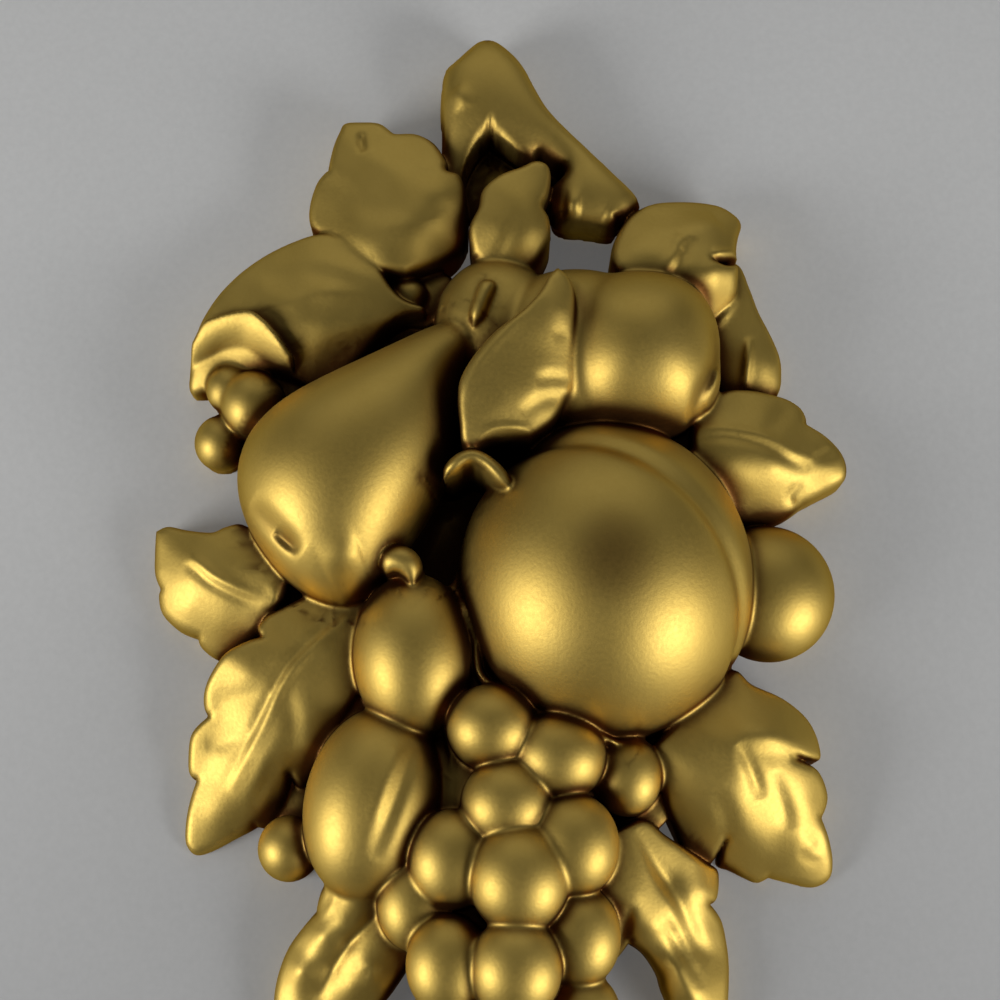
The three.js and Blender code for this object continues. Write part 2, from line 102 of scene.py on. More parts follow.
# Thin seams in the valleys between the fruit. Each station is x, z, half width, level, front.
SEAMS = [
    [
        (-12, -12, 0, 20, 0), (-10.5, -17, 1.2, 21, 2), (-7.5, -25.5, 1.2, 22, 2),
        (-6, -35.5, 1.3, 24, 2), (1.5, -41.5, 1.4, 27, 2), (8.5, -46.5, 1.4, 29, 2),
        (15, -49, 1.4, 30, 2), (22, -50.5, 1.4, 30, 2), (29.5, -54, 1.4, 28, 2), (34, -56, 1.2, 26, 2),
        (38.5, -56.5, 0, 24, 0),
    ],
    [
        (-6, -35.5, 0, 24, 0), (-9.5, -41.5, 1.3, 24, 2), (-15, -50.5, 1.3, 24, 2), (-14, -63, 0, 24, 0),
    ],
]
BACK_CORE = dict(x=0, z=-6, rx=66, rz=96, thickness=9)

# The pear: its outline in plan, with the height of its widest line and of its crown above that.
PEAR = dict(
    level=21,
    front=31.5,
    outline=[
        (-10, 75.5), (-14, 77), (-18.5, 76), (-23.5, 74), (-33, 69), (-42.5, 64), (-51.5, 59.5),
        (-61, 54.5), (-68, 50), (-74, 44.5), (-78.5, 38), (-81, 29), (-80.5, 20), (-77.5, 11), (-73, 3.5),
        (-67, -4), (-60.5, -9.5), (-54, -13), (-48.5, -14.5), (-43.5, -13.5), (-38, -9), (-32, -1.5),
        (-26.5, 6.5), (-22, 13.5), (-18.5, 20), (-16, 26), (-14, 34), (-13, 42), (-12.5, 50), (-11.5, 57),
        (-9, 63), (-6.5, 69), (-7, 73),
    ],
)

# Round bodies that follow a path. Each station is x, z, half width, level, front.
BODIES = {
    "peach_stem": [
        (-17, 21, 0, 38, 0), (-14.5, 24.5, 2.4, 38, 4), (-9, 28, 2.6, 40, 4), (-4, 26, 2.6, 42, 3.5),
        (1, 21, 2.4, 43, 3.5), (6, 15, 0, 43, 0),
    ],
    "olive_stem": [
        (-35.8, -3.7, 0, 34, 0), (-34.5, -3.2, 3.4, 34, 4), (-30.5, -1.5, 4.2, 35, 4.5),
        (-27, -4.5, 4, 35, 4), (-26, -10.5, 0, 34, 0),
    ],
    "apple_stem": [
        (-8, 72.5, 0, 32, 0), (-7.2, 75.5, 2.3, 32, 3.5), (-5.5, 80.5, 2.6, 32, 4),
        (-3.6, 86, 2.4, 32, 3.5), (-3.2, 87.5, 0, 32, 0),
    ],
    "knob": [
        (-32, 95, 0, 13, 0), (-31, 92, 5, 13, 6), (-28, 86, 5.5, 14, 6), (-25.5, 82, 0, 14, 0),
    ],
}

# The twig's trunk and long arm, in plan, with the height of its widest line and of its crown above that.
# A point given twice makes a corner.
TWIG = dict(
    level=9,
    front=14,
    outline=[
        (-19, 163.5), (-17.5, 168), (-13.5, 171.5), (-10, 175), (-6, 177.5), (-2, 177.5), (2, 174.5),
        (8, 168), (12, 160.5), (16.5, 152.5), (22.5, 146), (28.5, 140), (36, 131.5), (45, 122),
        (43.5, 117), (38.5, 113), (36.5, 110.5), (27, 112), (17.5, 113.5), (16, 120), (17, 126),
        (21, 130.5), (17, 134), (12.5, 137), (10.5, 134.5), (6, 136), (1, 140), (-3.5, 142.5),
        (-3.5, 142.5), (-7, 139.5), (-11, 132), (-13, 125), (-19, 125), (-19, 143), (-19.5, 153.5),
    ],
)

# Fine carving on the fruit, in plan: each a path, a width and a height, less than nothing for a groove.
STROKES = {
    "pear": [
        ([(-75, 15), (-69.5, 9.5), (-64, 4), (-59, -1)], 2.8, -1.6),
        ([(-67, 6.5), (-63, 3), (-60, 0)], 1.7, -1.3),
        ([(-52, -6), (-46, -3), (-41, -1)], 5, 1.2),
    ],
    "plum": [
        ([(-25, -56), (-28, -66), (-33, -80), (-37, -90)], 2.4, -1.1),
        ([(-30, -58), (-33, -68), (-37, -80)], 2.4, 0.6),
    ],
    "apple": [
        ([(66, 74), (67, 65), (64.5, 57), (61, 50), (59, 42)], 1.8, -1.4),
        ([(67.5, 60), (67, 54), (64, 47)], 1.6, 0.9),
    ],
    "twig": [
        ([(-3, 148), (-3.3, 144), (-3.5, 139)], 1.0, -1.2),
        ([(-3, 148), (-8, 141), (-12, 132), (-14, 126)], 3, 1.1),
        ([(-3, 148), (2, 141), (7, 137), (13, 135)], 3, 1.1),
        ([(12, 137), (13, 134), (14, 131)], 1.1, -1.6),
        ([(-15, 157), (-12.5, 154), (-11, 150)], 3, 1.2),
        ([(21, 117.5), (26, 117)], 4, 1.6),
        ([(34, 115.5), (38, 113.5)], 3, 1.0),
        ([(37, 115), (38.5, 113.5)], 0.8, -0.8),
        ([(8, 172), (14, 158), (24, 146), (34, 134)], 2.5, -0.8),
    ],
}

# The rolled lip of the left leaf: its crest and the edge it falls to, as x, z and height.
LIP_CREST = [
    (-98, 72, 17), (-94, 77.5, 21.5), (-89, 79, 24), (-84.5, 79.5, 26), (-78.5, 79.5, 28),
    (-74.5, 77, 28.5), (-71, 73.5, 28), (-68, 69.5, 27), (-65, 65.5, 24.5),
]
LIP_EDGE = [
    (-99.8, 62, 5), (-98, 60.5, 4), (-94, 62.5, 6), (-89.5, 66, 10), (-82.5, 67, 14), (-76, 65, 16.5),
    (-71, 63, 18), (-68, 62.5, 20), (-65, 62, 22),
]

# Leaves, in each leaf's own millimetres: along its midrib from the base, and out to the left of it. An
# edge runs round the leaf, with a corner where a point is given twice. The levels are [along, out, height]
# places that the surface passes smoothly. The folds are fine carving: a path, a width and a height. One
# marked "fold" is a step that is higher on the left of its path, and the others are as on the fruit.
UPPER_LEFT = dict(
    base=[-22, 95], heading=119,
    edge=[
        [2, 8], [5, 12], [11, 20], [16, 23], [24, 23], [25, 22], [25, 22], [31, 26], [38, 24.5], [45, 18],
        [47, 12.5], [47, 12.5], [53, 7.5], [57, 3], [59, 0], [56.5, -5], [53, -10], [48, -12], [47, -13],
        [44, -18.5], [38, -22], [30, -22], [27, -20.5], [24, -23.5], [18, -22.5], [10, -19], [4, -14],
        [1, -6],
    ],
    levels=[
        [60, 0, 19], [52, 0, 22], [46, 11, 21], [46, -11, 21], [38, 0, 24], [36, 20, 19], [37, -18, 22],
        [28, 24, 19], [29, -19, 24], [22, 0, 26], [20, 15, 25], [19, -14, 27.5], [14, 10, 27],
        [14, 0, 28.5], [13, -11, 26.5], [5, 10, 25], [2, 0, 22], [3, -11, 19], [10, -19, 20], [16, 22, 22],
        [8, 0, 25.5], [8, -10, 22.5],
    ],
    folds=[
        ([(52, -2.5), (49, -1), (45, 0)], 1.5, -1.6),
        ([(44, 5), (36, 0), (27, -2.5), (16, -3)], 5, 0.8, "fold"),
        ([(30, -14), (22, -9), (13, -8)], 4, -0.8),
        ([(36, 12), (27, 8), (18, 5)], 4, -0.5),
    ],
)
LEFT = dict(
    base=[-24, 82], heading=-175,
    edge=[
        [0, 1.2], [6, 2], [12, 5], [17, 9.5], [24, 15.5], [34, 22], [53, 15], [76, 18], [75, 6], [72, -4],
        [62, -16], [48, -25], [31, -29], [22, -24], [14, -16], [10, -8], [6, -3.5], [0, -1.2],
    ],
    levels=[
        [0, 0, 21], [8, -9, 23.5], [16, -16, 24.5], [30, -27, 21], [48, -22, 18], [62, -14, 17],
        [74, -2, 14], [10, 2, 23], [18, -4, 25.5], [32, -10, 25], [50, -6, 22], [62, 2, 19], [32, 4, 25],
        [18, 8, 22], [34, 19, 14], [48, 8, 22], [54, 14, 16], [22, 15, 17],
    ],
    folds=[
        ([(50, -17), (34, -16), (18, -9), (2, -1)], 3, 0.9, "fold"),
        ([(52, -2), (40, -3), (26, -4), (12, -1), (2, 0)], 3, 1.1, "fold"),
        ([(36, 12), (26, 9), (14, 4), (3, 1)], 3, 1.1, "fold"),
    ],
)
CENTRE_TOP = dict(
    base=[0, 96], heading=69,
    edge=[
        [0, 9.5], [7.5, 13.5], [14.5, 13], [20.5, 14], [27, 11], [32.5, 5.5], [36.5, 2], [37, -2],
        [34, -4.5], [28, -6], [23, -6], [20.5, -9], [15, -11.5], [9, -11.5], [2.5, -10], [-2, -4], [-2, 4],
    ],
    levels=[
        [0, 9, 24], [12, 12, 27.5], [19, 13, 27], [30, 6, 27], [35, -1, 26], [28, -5, 25],
        [20, -8.5, 24.5], [14, -11, 24.5], [3, -10, 22], [14, 1, 29], [5, 1, 27], [24, 0, 28.5],
        [5, -5, 26], [13, -6, 29], [20, -4, 28.5],
    ],
    folds=[
        ([(16, -1), (11, 0.5), (6, 1), (0, 2)], 1.8, -0.6),
    ],
)
UPPER_RIGHT = dict(
    base=[45, 89], heading=38,
    edge=[
        [-3.5, 9.5], [-0.5, 15], [6, 19.5], [14.5, 22.5], [23, 21], [32, 15], [39, 8.5], [41.5, 2.5],
        [41, -1.5], [37, -4.5], [33.5, -7.5], [31, -10.5], [31, -10.5], [26, -9], [23.5, -7.5],
        [23.5, -7.5], [25.5, -10.5], [29.5, -12.5], [27, -16], [23.5, -19.5], [17.5, -21.5], [10, -20],
        [4, -12], [0, -2],
    ],
    levels=[
        [-4, 8, 25], [3, 18, 21], [14, 21, 19], [5, 10, 26], [10, 3, 26.5], [25, 17, 18], [37, 9, 16],
        [41, 0, 16], [34, -7, 19], [29, 2, 23], [19, 1, 25], [10, -6, 24], [14, -9, 26.5], [20, -11, 27.5],
        [26, -14, 23], [23, -19, 17], [18, -20, 13], [18, -15, 23.5], [22, -7, 24], [11, -16, 18],
    ],
    folds=[
        ([(7, -3.5), (8.5, -2.5), (13.5, -0.5), (19, 2.5), (21, 4)], 1.8, 2.0, "fold"),
        ([(16, 3), (25, 5), (34, 4)], 5, 1.1),
        ([(24, -5.5), (27, -7), (31, -9)], 1.2, 1.0),
    ],
)
FAR_RIGHT = dict(
    base=[76, 99], heading=-74,
    edge=[
        [-2, -4], [-1, 2], [7.5, 3], [16, 3.5], [25, 5.5], [31.5, 6], [36.5, 5], [42, 2.5], [46, -4],
        [44, -12], [38, -18], [28, -18], [18, -16], [8, -12],
    ],
    levels=[
        [2, 0, 12], [16, -11, 13], [24, -8, 11.5], [34, -13, 9.5], [26, -2, 13], [37, -8, 12], [30, 0, 12],
        [40, -4, 10], [34, 2, 11], [35, 5, 8], [42, 2, 7], [20, 3, 11], [26, 5, 8], [37, -16, 8],
        [12, -2, 13],
    ],
    folds=[
        ([(24, -3), (32, -6), (40, -9.5)], 1.5, 2.0),
        ([(9, -2), (14, -7), (18, -13)], 1.4, 1.0),
    ],
)
RIGHT = dict(
    base=[60, 39], heading=-9,
    edge=[
        [0, -6], [0, 8], [6, 17], [15, 20.5], [26.5, 20.5], [32.5, 18.5], [35, 15.5], [35.5, 13],
        [35.5, 13], [42, 10], [47.5, 5.5], [50, 0.5], [49, -4], [42, -9.5], [38, -12.5], [38, -12.5],
        [32, -18], [24, -21.5], [17, -22.5], [9, -18], [2, -12],
    ],
    levels=[
        [4, 10, 23], [15, 19, 17.5], [26, 19, 16], [34, 14, 15], [43, 9, 15], [50, 1, 14.5], [9, 3, 24],
        [20, 3, 22.5], [30, 1, 20.5], [38, 0, 18], [46, 0, 16], [22, 11, 20.5], [13, -6, 25], [25, -6, 23],
        [34, -5, 18], [12, -12, 21], [29, -11, 16.5], [30, -17, 10], [18, -20, 12], [42, -7, 13.5],
    ],
    folds=[
        ([(0, 1), (10, 3), (18, 3), (25, 2), (31, 0), (38, -1)], 1.6, 1.7, "fold"),
        ([(36, -7), (33, -11), (35, -14)], 1.4, -0.9),
        ([(46, 7), (42, 3), (38, 1)], 2, -0.7),
        ([(29, 19), (26, 12), (22, 6)], 3, -0.6),
    ],
)
CENTRE = dict(
    base=[18, 83], heading=-117,
    edge=[
        [-4, -2.5], [-3, 2], [1, 6], [10.5, 11], [19, 15], [27, 18.5], [31.5, 18], [39, 18], [47.5, 14.5],
        [47.5, 14.5], [50, 9.5], [53.5, 4.5], [57, 2], [59, 0], [58, -3.5], [53.5, -6.5], [47, -10.5],
        [41, -12.5], [32, -12], [23, -9.5], [14.5, -5.5], [7, -3.5], [0.5, -3.5],
    ],
    levels=[
        [-2, -2, 46], [7, -2, 49], [18, -5, 49], [30, -9, 48], [40, -10, 47.5], [48, -9, 46.5],
        [58, -2, 44], [2, 6, 45], [10, 11, 43.5], [18, 14, 41.5], [27, 17.5, 39.5], [37, 17, 39.5],
        [44, 14, 41.5], [50, 6, 43.5], [20, 5, 46.5], [31, 5, 46], [42, 2, 47], [36, 10, 45],
        [26, 10, 45.5], [9, 5, 48.5], [50, -2, 46.5],
    ],
    folds=[
        ([(32, 8), (28, 12), (25, 17)], 2.2, -0.9),
        ([(43, 9), (36, 12), (30, 18)], 2.2, -0.9),
        ([(17, 6), (13.5, 9.5)], 2, -0.4),
        ([(12, -4), (26, -8.5), (36, -10.5), (47, -9.5)], 1.3, 1.0, "fold"),
        ([(56, 0), (51, 3), (47, 9), (45, 14)], 1.3, 1.0),
    ],
)
LOW_LEFT_SMALL = dict(
    base=[-67, -8], heading=153,
    edge=[
        [46, 0.5], [43, -2.5], [36.5, -4], [29, -6.5], [26, -10], [21, -13], [11, -10.5], [0.5, -4],
        [-1, 4], [0, 12], [3.5, 19.5], [8, 26], [11.5, 27], [16.5, 26], [18.5, 24], [18.5, 24], [25, 24.5],
        [32, 22.5], [35.5, 18.5], [36, 16], [36, 16], [40, 12.5], [43.5, 6],
    ],
    levels=[
        [45, 1, 12], [36, -3, 14.5], [24, -9, 17], [16, -6, 20], [23, 1, 20], [32, 3, 17.5], [41, 8, 11],
        [14, 5, 20.5], [5, 3, 20.5], [24, 12, 17], [12, 12, 17.5], [3, 12, 17], [32, 15, 13.5],
        [35, 17, 10], [27, 18, 14], [33, 22, 8], [20, 23, 9.5], [14, 19, 13], [9, 25, 7], [5, 18, 12.5],
    ],
    folds=[
        ([(31, 5), (27, 5.5), (20, 7), (11, 7), (3.5, 6)], 1.4, 1.6, "fold"),
        ([(38, 12), (30, 15), (24, 15)], 2.5, -0.5),
        ([(4, 0), (0, 3), (0, 7)], 1.3, 0.8),
    ],
)
LOW_LEFT = dict(
    base=[-48, -18], heading=-124,
    edge=[
        [11.5, -20.5], [3.5, -16], [-6, -10], [-9, -2], [-5, 7], [9.5, 15.5], [18.5, 17], [27, 17.5],
        [33, 18.5], [40, 19], [48, 17.5], [47.5, 13], [47.5, 13], [56, 16], [63, 16], [65.5, 12],
        [65.5, 12], [67, 11.5], [72.5, 8.5], [79, 5], [83, 1.5], [82, -3], [77, -6.5], [70, -9.5],
        [64.5, -11], [64.5, -11], [64, -14], [60, -17], [53.5, -20], [46.5, -18.5], [46.5, -18.5],
        [45, -21], [41, -23.5], [35, -24.5], [28, -24], [22, -21], [18, -18], [18, -18], [16, -20.5],
    ],
    levels=[
        [12, -19, 21], [4, -11, 23], [3, 1, 25], [28, -22, 23.5], [36, -23, 20], [44, -21, 16],
        [59, -16, 12], [65, -12, 8], [77, -7, 6], [82, 0, 4.5], [72, 8, 5], [65, 11, 7], [62, 15, 6],
        [56, 15, 8], [47.5, 13, 13], [46, 17, 11], [28, 17, 19], [12, 11, 23], [22, -4, 24.5],
        [11, -3, 25], [37, -5, 20], [50, -4, 16], [59, -2, 12.5], [70, 0, 9], [29, -14, 24], [44, -14, 16],
        [55, -12, 12], [42, 4, 20], [52, 6, 16.5], [60, 5, 12], [32, 7, 22], [36, 14, 20], [55, 11, 12],
    ],
    folds=[
        ([(-4, 1), (11, -3), (23, -4.5), (41.5, -2.5), (62, -1)], 1.4, 1.5, "fold"),
        ([(26, -3), (32, 4), (40, 10)], 3, -0.7),
        ([(30, -6), (36, -12), (42, -19)], 3, -0.7),
        ([(44, -4), (50, -9), (54, -14)], 2.5, -0.6),
        ([(44, 7), (54, 8), (62, 8)], 2, -0.6),
    ],
)
LOW_RIGHT = dict(
    base=[50, -46], heading=-43,
    edge=[
        [4, -10], [4, 8], [6, 24], [13.5, 25], [23, 28.5], [32, 29.5], [38.5, 27.5], [43.5, 23.5],
        [43, 21], [39, 17.5], [39, 17.5], [45.5, 19.5], [51.5, 17.5], [54.5, 14.5], [56, 10], [56, 10],
        [61.5, 7.5], [67.5, 3.5], [70.5, -1], [68.5, -6.5], [62, -10.5], [56.5, -13.5], [56.5, -13.5],
        [55, -17], [51.5, -18.5], [46.5, -20], [42, -21.5], [39, -16], [39, -16], [40.5, -22.5],
        [37.5, -26], [32, -26], [25, -23.5], [18.5, -20.5], [12, -16],
    ],
    levels=[
        [9, 22, 20], [22, 26, 19], [33, 27, 16.5], [40, 25, 15], [12, 8, 26], [22, 9, 29], [26, 16, 27.5],
        [35, 19, 23.5], [41, 20, 20], [14, -9, 27], [18, -16, 23], [27, -22, 17], [37, -24, 12],
        [42, -20, 10], [37, -14, 19], [22, -5, 27.5], [27, 1, 28.5], [31, -14, 22.5], [33, 8, 26],
        [36, 3, 23.5], [41, 14, 22], [47, 17, 17], [53, 16, 12], [56, 11, 12], [42, 7, 22], [47, 1, 17.5],
        [35, -6, 24.5], [42, -10, 19], [49, -14, 11], [55, -15, 6], [51, -3, 16], [50, 8, 18.5],
        [59, 5, 13], [58, -4, 13], [68, 3, 6], [69, -4, 4], [62, -9, 5.5], [15, 16, 24],
    ],
    folds=[
        ([(21, 6), (31.5, 15), (42, 21)], 3, 1.5, "fold"),
        ([(22, 7), (31, 3.5), (38, 0)], 2.2, -1.5),
        ([(35, 8), (43, 4), (51, 0)], 2.4, -0.9),
        ([(54, 2), (59, 4), (62, 1)], 1.8, -0.6),
        ([(57, -3), (61, -2), (65, 0)], 1.8, -0.5),
        ([(36, 15), (39, 17), (43, 19)], 1.3, -1.4),
        ([(26, -8), (34, -11), (39, -15)], 3, -0.9),
    ],
)
LOWEST_RIGHT = dict(
    base=[40, -83], heading=-68,
    edge=[
        [-3, -8], [-4, 4], [3, 9], [10.5, 14.5], [14.5, 17.5], [18, 20.5], [22, 19.5], [26, 17],
        [27, 14.5], [27, 14.5], [32.5, 16], [39, 15], [45.5, 13], [56, 8], [66, 3], [75, -1], [66, -6],
        [54, -8.5], [45, -9], [39.5, -8.5], [32.5, -10], [28, -13], [28, -13], [31, -18.5], [29, -21],
        [24.5, -18.5], [16, -17], [6, -14],
    ],
    levels=[
        [0, -5, 26], [1, 1, 24], [7, 7, 22], [13, 13, 20], [13, -12, 27], [16, -6, 27], [15, -1, 23],
        [16, 5, 17.5], [27, -15, 19], [29, -19, 13], [26, -5, 24.5], [26, 0, 21], [22, 9, 20], [31, 2, 15],
        [40, -2, 21], [50, 0, 18], [39, -8, 14], [37, 4, 13], [23, 14, 18], [20, 19, 11], [27, 14, 13],
        [34, 15, 8], [44, 12, 8], [56, 6, 9], [58, -6, 11], [74, -1, 6], [34, 9, 15],
    ],
    folds=[
        ([(-2, 0), (10, 1), (20.5, 3), (31, 4), (42, 5)], 2, -2.0, "fold"),
        ([(18, -9), (24, -13), (30, -17)], 1.6, -1.3),
        ([(30, -4), (42, -3), (54, -2)], 2, 0.8),
        ([(26, -1), (36, 0.5), (48, 2.5)], 1.6, -0.8),
    ],
)
LOWEST_LEFT = dict(
    base=[-38, -100], heading=-124,
    edge=[
        [0, 12.5], [-2, 3], [1, -5], [4, -12.5], [7.5, -13.5], [13.5, -11.5], [13.5, -11.5], [21.5, -12.5],
        [28, -12.5], [36, -10.5], [43, -7], [50, -1], [57, 8], [60, 14], [52, 19], [42, 20], [31, 19],
        [20.5, 20.5], [6.5, 19.5],
    ],
    levels=[
        [5, -10, 22], [4, -2, 24], [1, 4, 22], [14, -11, 14], [11, -2, 24], [5, 4, 19.5], [18, -5, 23.5],
        [25, -10, 12], [30, -5, 20], [36, -9, 9], [24, 2, 13], [15, 2, 16], [7, 10, 22], [16, 8, 23],
        [25, 10, 19], [34, 9, 14], [12, 17, 19], [34, 2, 10], [43, -5, 9], [40, 2, 13], [54, 8, 8],
        [46, 16, 8], [30, 17, 11],
    ],
    folds=[
        ([(2, 5), (8, 4), (15.5, 2.5), (24, 2.5), (34, 4)], 1.8, -1.4),
        ([(20, 9), (17, 12), (21, 14)], 1.2, 0.5),
        ([(4, -9), (9, -8), (14, -9)], 1.4, 0.6),
    ],
)
LEAVES = [
    UPPER_LEFT, LEFT, CENTRE_TOP, UPPER_RIGHT, FAR_RIGHT, RIGHT, CENTRE, LOW_LEFT_SMALL, LOW_LEFT,
    LOW_RIGHT, LOWEST_RIGHT, LOWEST_LEFT,
]

# ---- The distance field ----

STEP = 0.7
REACH_X, LOW_Z, HIGH_Z, HIGH_H = 113.0, -183.0, 178.0, 65.0
# How many steps the grid reaches behind the wall, and how far outside everything the field starts.
STEPS_BEHIND = 2.5
FAR = 9.0
# Room left around a form in plan, in millimetres.
MARGIN = 5.0

X = np.arange(-REACH_X, REACH_X + STEP, STEP, dtype=np.float32)
Z = np.arange(LOW_Z, HIGH_Z + STEP, STEP, dtype=np.float32)
H = np.arange(-STEPS_BEHIND * STEP, HIGH_H + STEP, STEP, dtype=np.float32)
field = np.full((len(X), len(Z), len(H)), FAR, np.float32)

# A dome's sides draw in by this share of its half size towards the wall, over this share of its level.
TUCK = 0.1
TUCK_REACH = 0.6
LEAST_FRONT = 0.5
# A swelling's slope is read this many steps inside its edge and carried this many millimetres outside.
EDGE_BAND = 1.6
SLOPE_REACH = 6
LEAST_SLOPE = 0.01
LEAST_DEPTH = 0.2
# Relaxing takes this many rounds for each cell across, and no cell counts as nearer to the edge than this.
ROUNDS = 3
LEAST_PART = 0.15
NEARLY_NOTHING = 1e-6

STROKE_FADE = 0.6

# Leaves: the round along the edge, how far the edge rolls back, how freely the surface passes its levels,
# and the strength of the folds and of the unevenness of hand work.
RIM = 2.6
EDGE_ROLL = 0.8
STIFFNESS = 60.0
FOLD_DEPTH = 0.8
RIPPLE = 0.04
RIPPLE_WAVES = 8
RIPPLE_LENGTHS = (9, 18)
RIPPLE_SEED = 7

# The peach's suture runs around the line through its two cheeks: x, z and height.
CHEEK = np.array((0.4, 0.58, -0.7))
SUTURE_DEPTH = 1.8
SUTURE_SPAN = math.radians(5.0)
SUTURE_SHIFT = math.radians(3.0)

# Grapes are this much larger than their spacing, so that they press together, and are nearly round.
GRAPE_SWELL = 1.16
GRAPE_CROWN = 1.04
GRAPE_DROP = 1

# The lip: how much of its fall is straight, the round of its edge, and how it is laid out and eased.
LIP_BOW = 0.35
LIP_RIM = 1.4
LIP_SPAN = (-0.15, 1.2)
LIP_STRIPS = 300
LIP_STEPS = 24
LIP_SKIP = 6
LIP_EASE = 0.9
# The twig's end is cut off flat here: a point and the cut's direction, as x, z and height.
TWIG_CUT = ((-15, 167, 17.5), (-0.62, 0.62, 0.48))
TWIG_FULLNESS = 0.55
PEAR_FULLNESS = 0.92

# Over how many millimetres each joint is filled.
SOFT_BACK = 1.0
SOFT_WEB = 1.5
SOFT_LEAF = 1.2
SOFT_BODY = 1.6
SOFT_FRUIT = 2.0
SOFT_LIP = 0.8


def window(x0, x1, z0, z1):
    """The part of the plan grid that covers this range, as slices, and its x and z."""
    i = slice(max(int((x0 - MARGIN - X[0]) / STEP), 0), int((x1 + MARGIN - X[0]) / STEP) + 2)
    j = slice(max(int((z0 - MARGIN - Z[0]) / STEP), 0), int((z1 + MARGIN - Z[0]) / STEP) + 2)
    px, pz = np.meshgrid(X[i], Z[j], indexing="ij")
    return i, j, px, pz


def window_over(outline):
    return window(outline[:, 0].min(), outline[:, 0].max(), outline[:, 1].min(), outline[:, 1].max())


def window_about(f):
    size = max(f["rx"], f["rz"])
    return window(f["x"] - size, f["x"] + size, f["z"] - size, f["z"] + size)


def join(i, j, form, soft):
    """Joins a form to the field, and fills the joint softly over this many millimetres."""
    old = field[i, j]
    blend = np.maximum(soft - np.abs(old - form), 0)
    field[i, j] = np.minimum(old, form) - blend * blend / (4 * soft)


def stretches(px, pz, path):
    """Each stretch of a path: its start and direction, and each plan point's nearest share and distance."""
    for a, b in zip(path[:-1], path[1:]):
        d = b - a
        t = np.clip(((px - a[0]) * d[0] + (pz - a[1]) * d[1]) / max(d @ d, 1e-9), 0, 1)
        yield a, d, t, np.hypot(px - a[0] - t * d[0], pz - a[1] - t * d[1])


def signed_distance(px, pz, outline):
    """Distance to a closed outline in plan, less than nothing inside it."""
    ring = np.vstack([outline, outline[:1]])
    distance = np.full(px.shape, 1e9, np.float32)
    for *_, r in stretches(px, pz, ring):
        distance = np.minimum(distance, r)
    inside = np.zeros(px.shape, bool)
    for (x0, z0), (x1, z1) in zip(ring[:-1], ring[1:]):
        if z0 == z1:
            continue
        spans = (z0 > pz) != (z1 > pz)
        inside ^= spans & (px < x0 + (pz - z0) * (x1 - x0) / (z1 - z0))
    return np.where(inside, -distance, distance)


def softened(values, radius):
    """A plan map with its creases eased over this radius, in millimetres."""
    reach = max(int(2 * radius / STEP), 1)
    offsets = np.arange(-reach, reach + 1) * STEP
    kernel = np.exp(-((offsets / radius) ** 2))
    kernel /= kernel.sum()
    for axis in (0, 1):
        padded = np.pad(values, [(reach, reach) if a == axis else (0, 0) for a in (0, 1)], mode="edge")
        n = values.shape[axis]
        values = sum(w * np.take(padded, range(k, k + n), axis) for k, w in enumerate(kernel))
    return values


def smooth_path(stations, steps=8):
    """A curve through the stations, with all their columns."""
    p = np.array(stations, float)
    p = np.vstack([2 * p[0] - p[1], p, 2 * p[-1] - p[-2]])
    out = []
    for k in range(1, len(p) - 2):
        for t in np.arange(steps) / steps:
            a, b, c, d = p[k - 1], p[k], p[k + 1], p[k + 2]
            straight = 2 * b + (c - a) * t
            bent = (2 * a - 5 * b + 4 * c - d) * t**2 + (3 * b - a - 3 * c + d) * t**3
            out.append(0.5 * (straight + bent))
    out.append(p[-2])
    return np.array(out)


def swelling(distance):
    """A smooth swelling over an outline in plan: 1 at its crown, nothing at its edge, and less outside.

    It is the shape of a film blown up over the outline, relaxed between each cell's four neighbours.
    """
    inside = distance < 0
    beside = ((0, 1), (0, -1), (1, 1), (1, -1))
    inner = np.zeros(distance.shape, np.float32)
    hold = np.full(distance.shape, len(beside), np.float32)
    for axis, way in beside:
        next_in = np.roll(inside, way, axis)
        next_d = np.roll(distance, way, axis)
        part = np.clip(-distance / np.maximum(next_d - distance, NEARLY_NOTHING), LEAST_PART, 1)
        hold += np.where(next_in, 0, (1 - part) / part)
    rows, columns = np.indices(distance.shape)
    turn = [inside & ((rows + columns) % 2 == k) for k in (0, 1)]
    across = min(distance.shape)
    pull = 2 / (1 + math.sin(math.pi / across))
    for _ in range(ROUNDS * across):
        for cells in turn:
            total = sum(np.roll(inner, way, axis) for axis, way in beside)
            step = (total + STEP * STEP) / hold - inner
            inner[cells] += pull * step[cells]
    inner /= inner.max()
    beside_edge = inside & (distance > -EDGE_BAND * STEP)
    slope = np.where(beside_edge, inner / np.maximum(-distance, LEAST_DEPTH * STEP), 0)
    known = slope > 0
    for _ in range(int(SLOPE_REACH / STEP)):
        count = sum(np.roll(known, way, axis).astype(np.float32) for axis, way in beside)
        total = sum(np.roll(np.where(known, slope, 0), way, axis) for axis, way in beside)
        fresh = ~known & ~inside & (count > 0)
        slope[fresh] = (total / np.maximum(count, 1))[fresh]
        known |= fresh
    slope = np.where(known, slope, slope[known].mean())
    return np.where(inside, inner, -distance * np.maximum(slope, LEAST_SLOPE))


def swollen(px, pz, outline, fullness=1.0):
    """The plan share of a body that swells over an outline, and how fast it grows."""
    swell = swelling(signed_distance(px, pz, outline))
    swell = np.where(swell > 0, np.abs(swell) ** fullness, swell)
    share = np.sqrt(np.maximum(1 - swell, NEARLY_NOTHING))
    return share, np.maximum(np.hypot(*np.gradient(share, STEP)), LEAST_SLOPE)


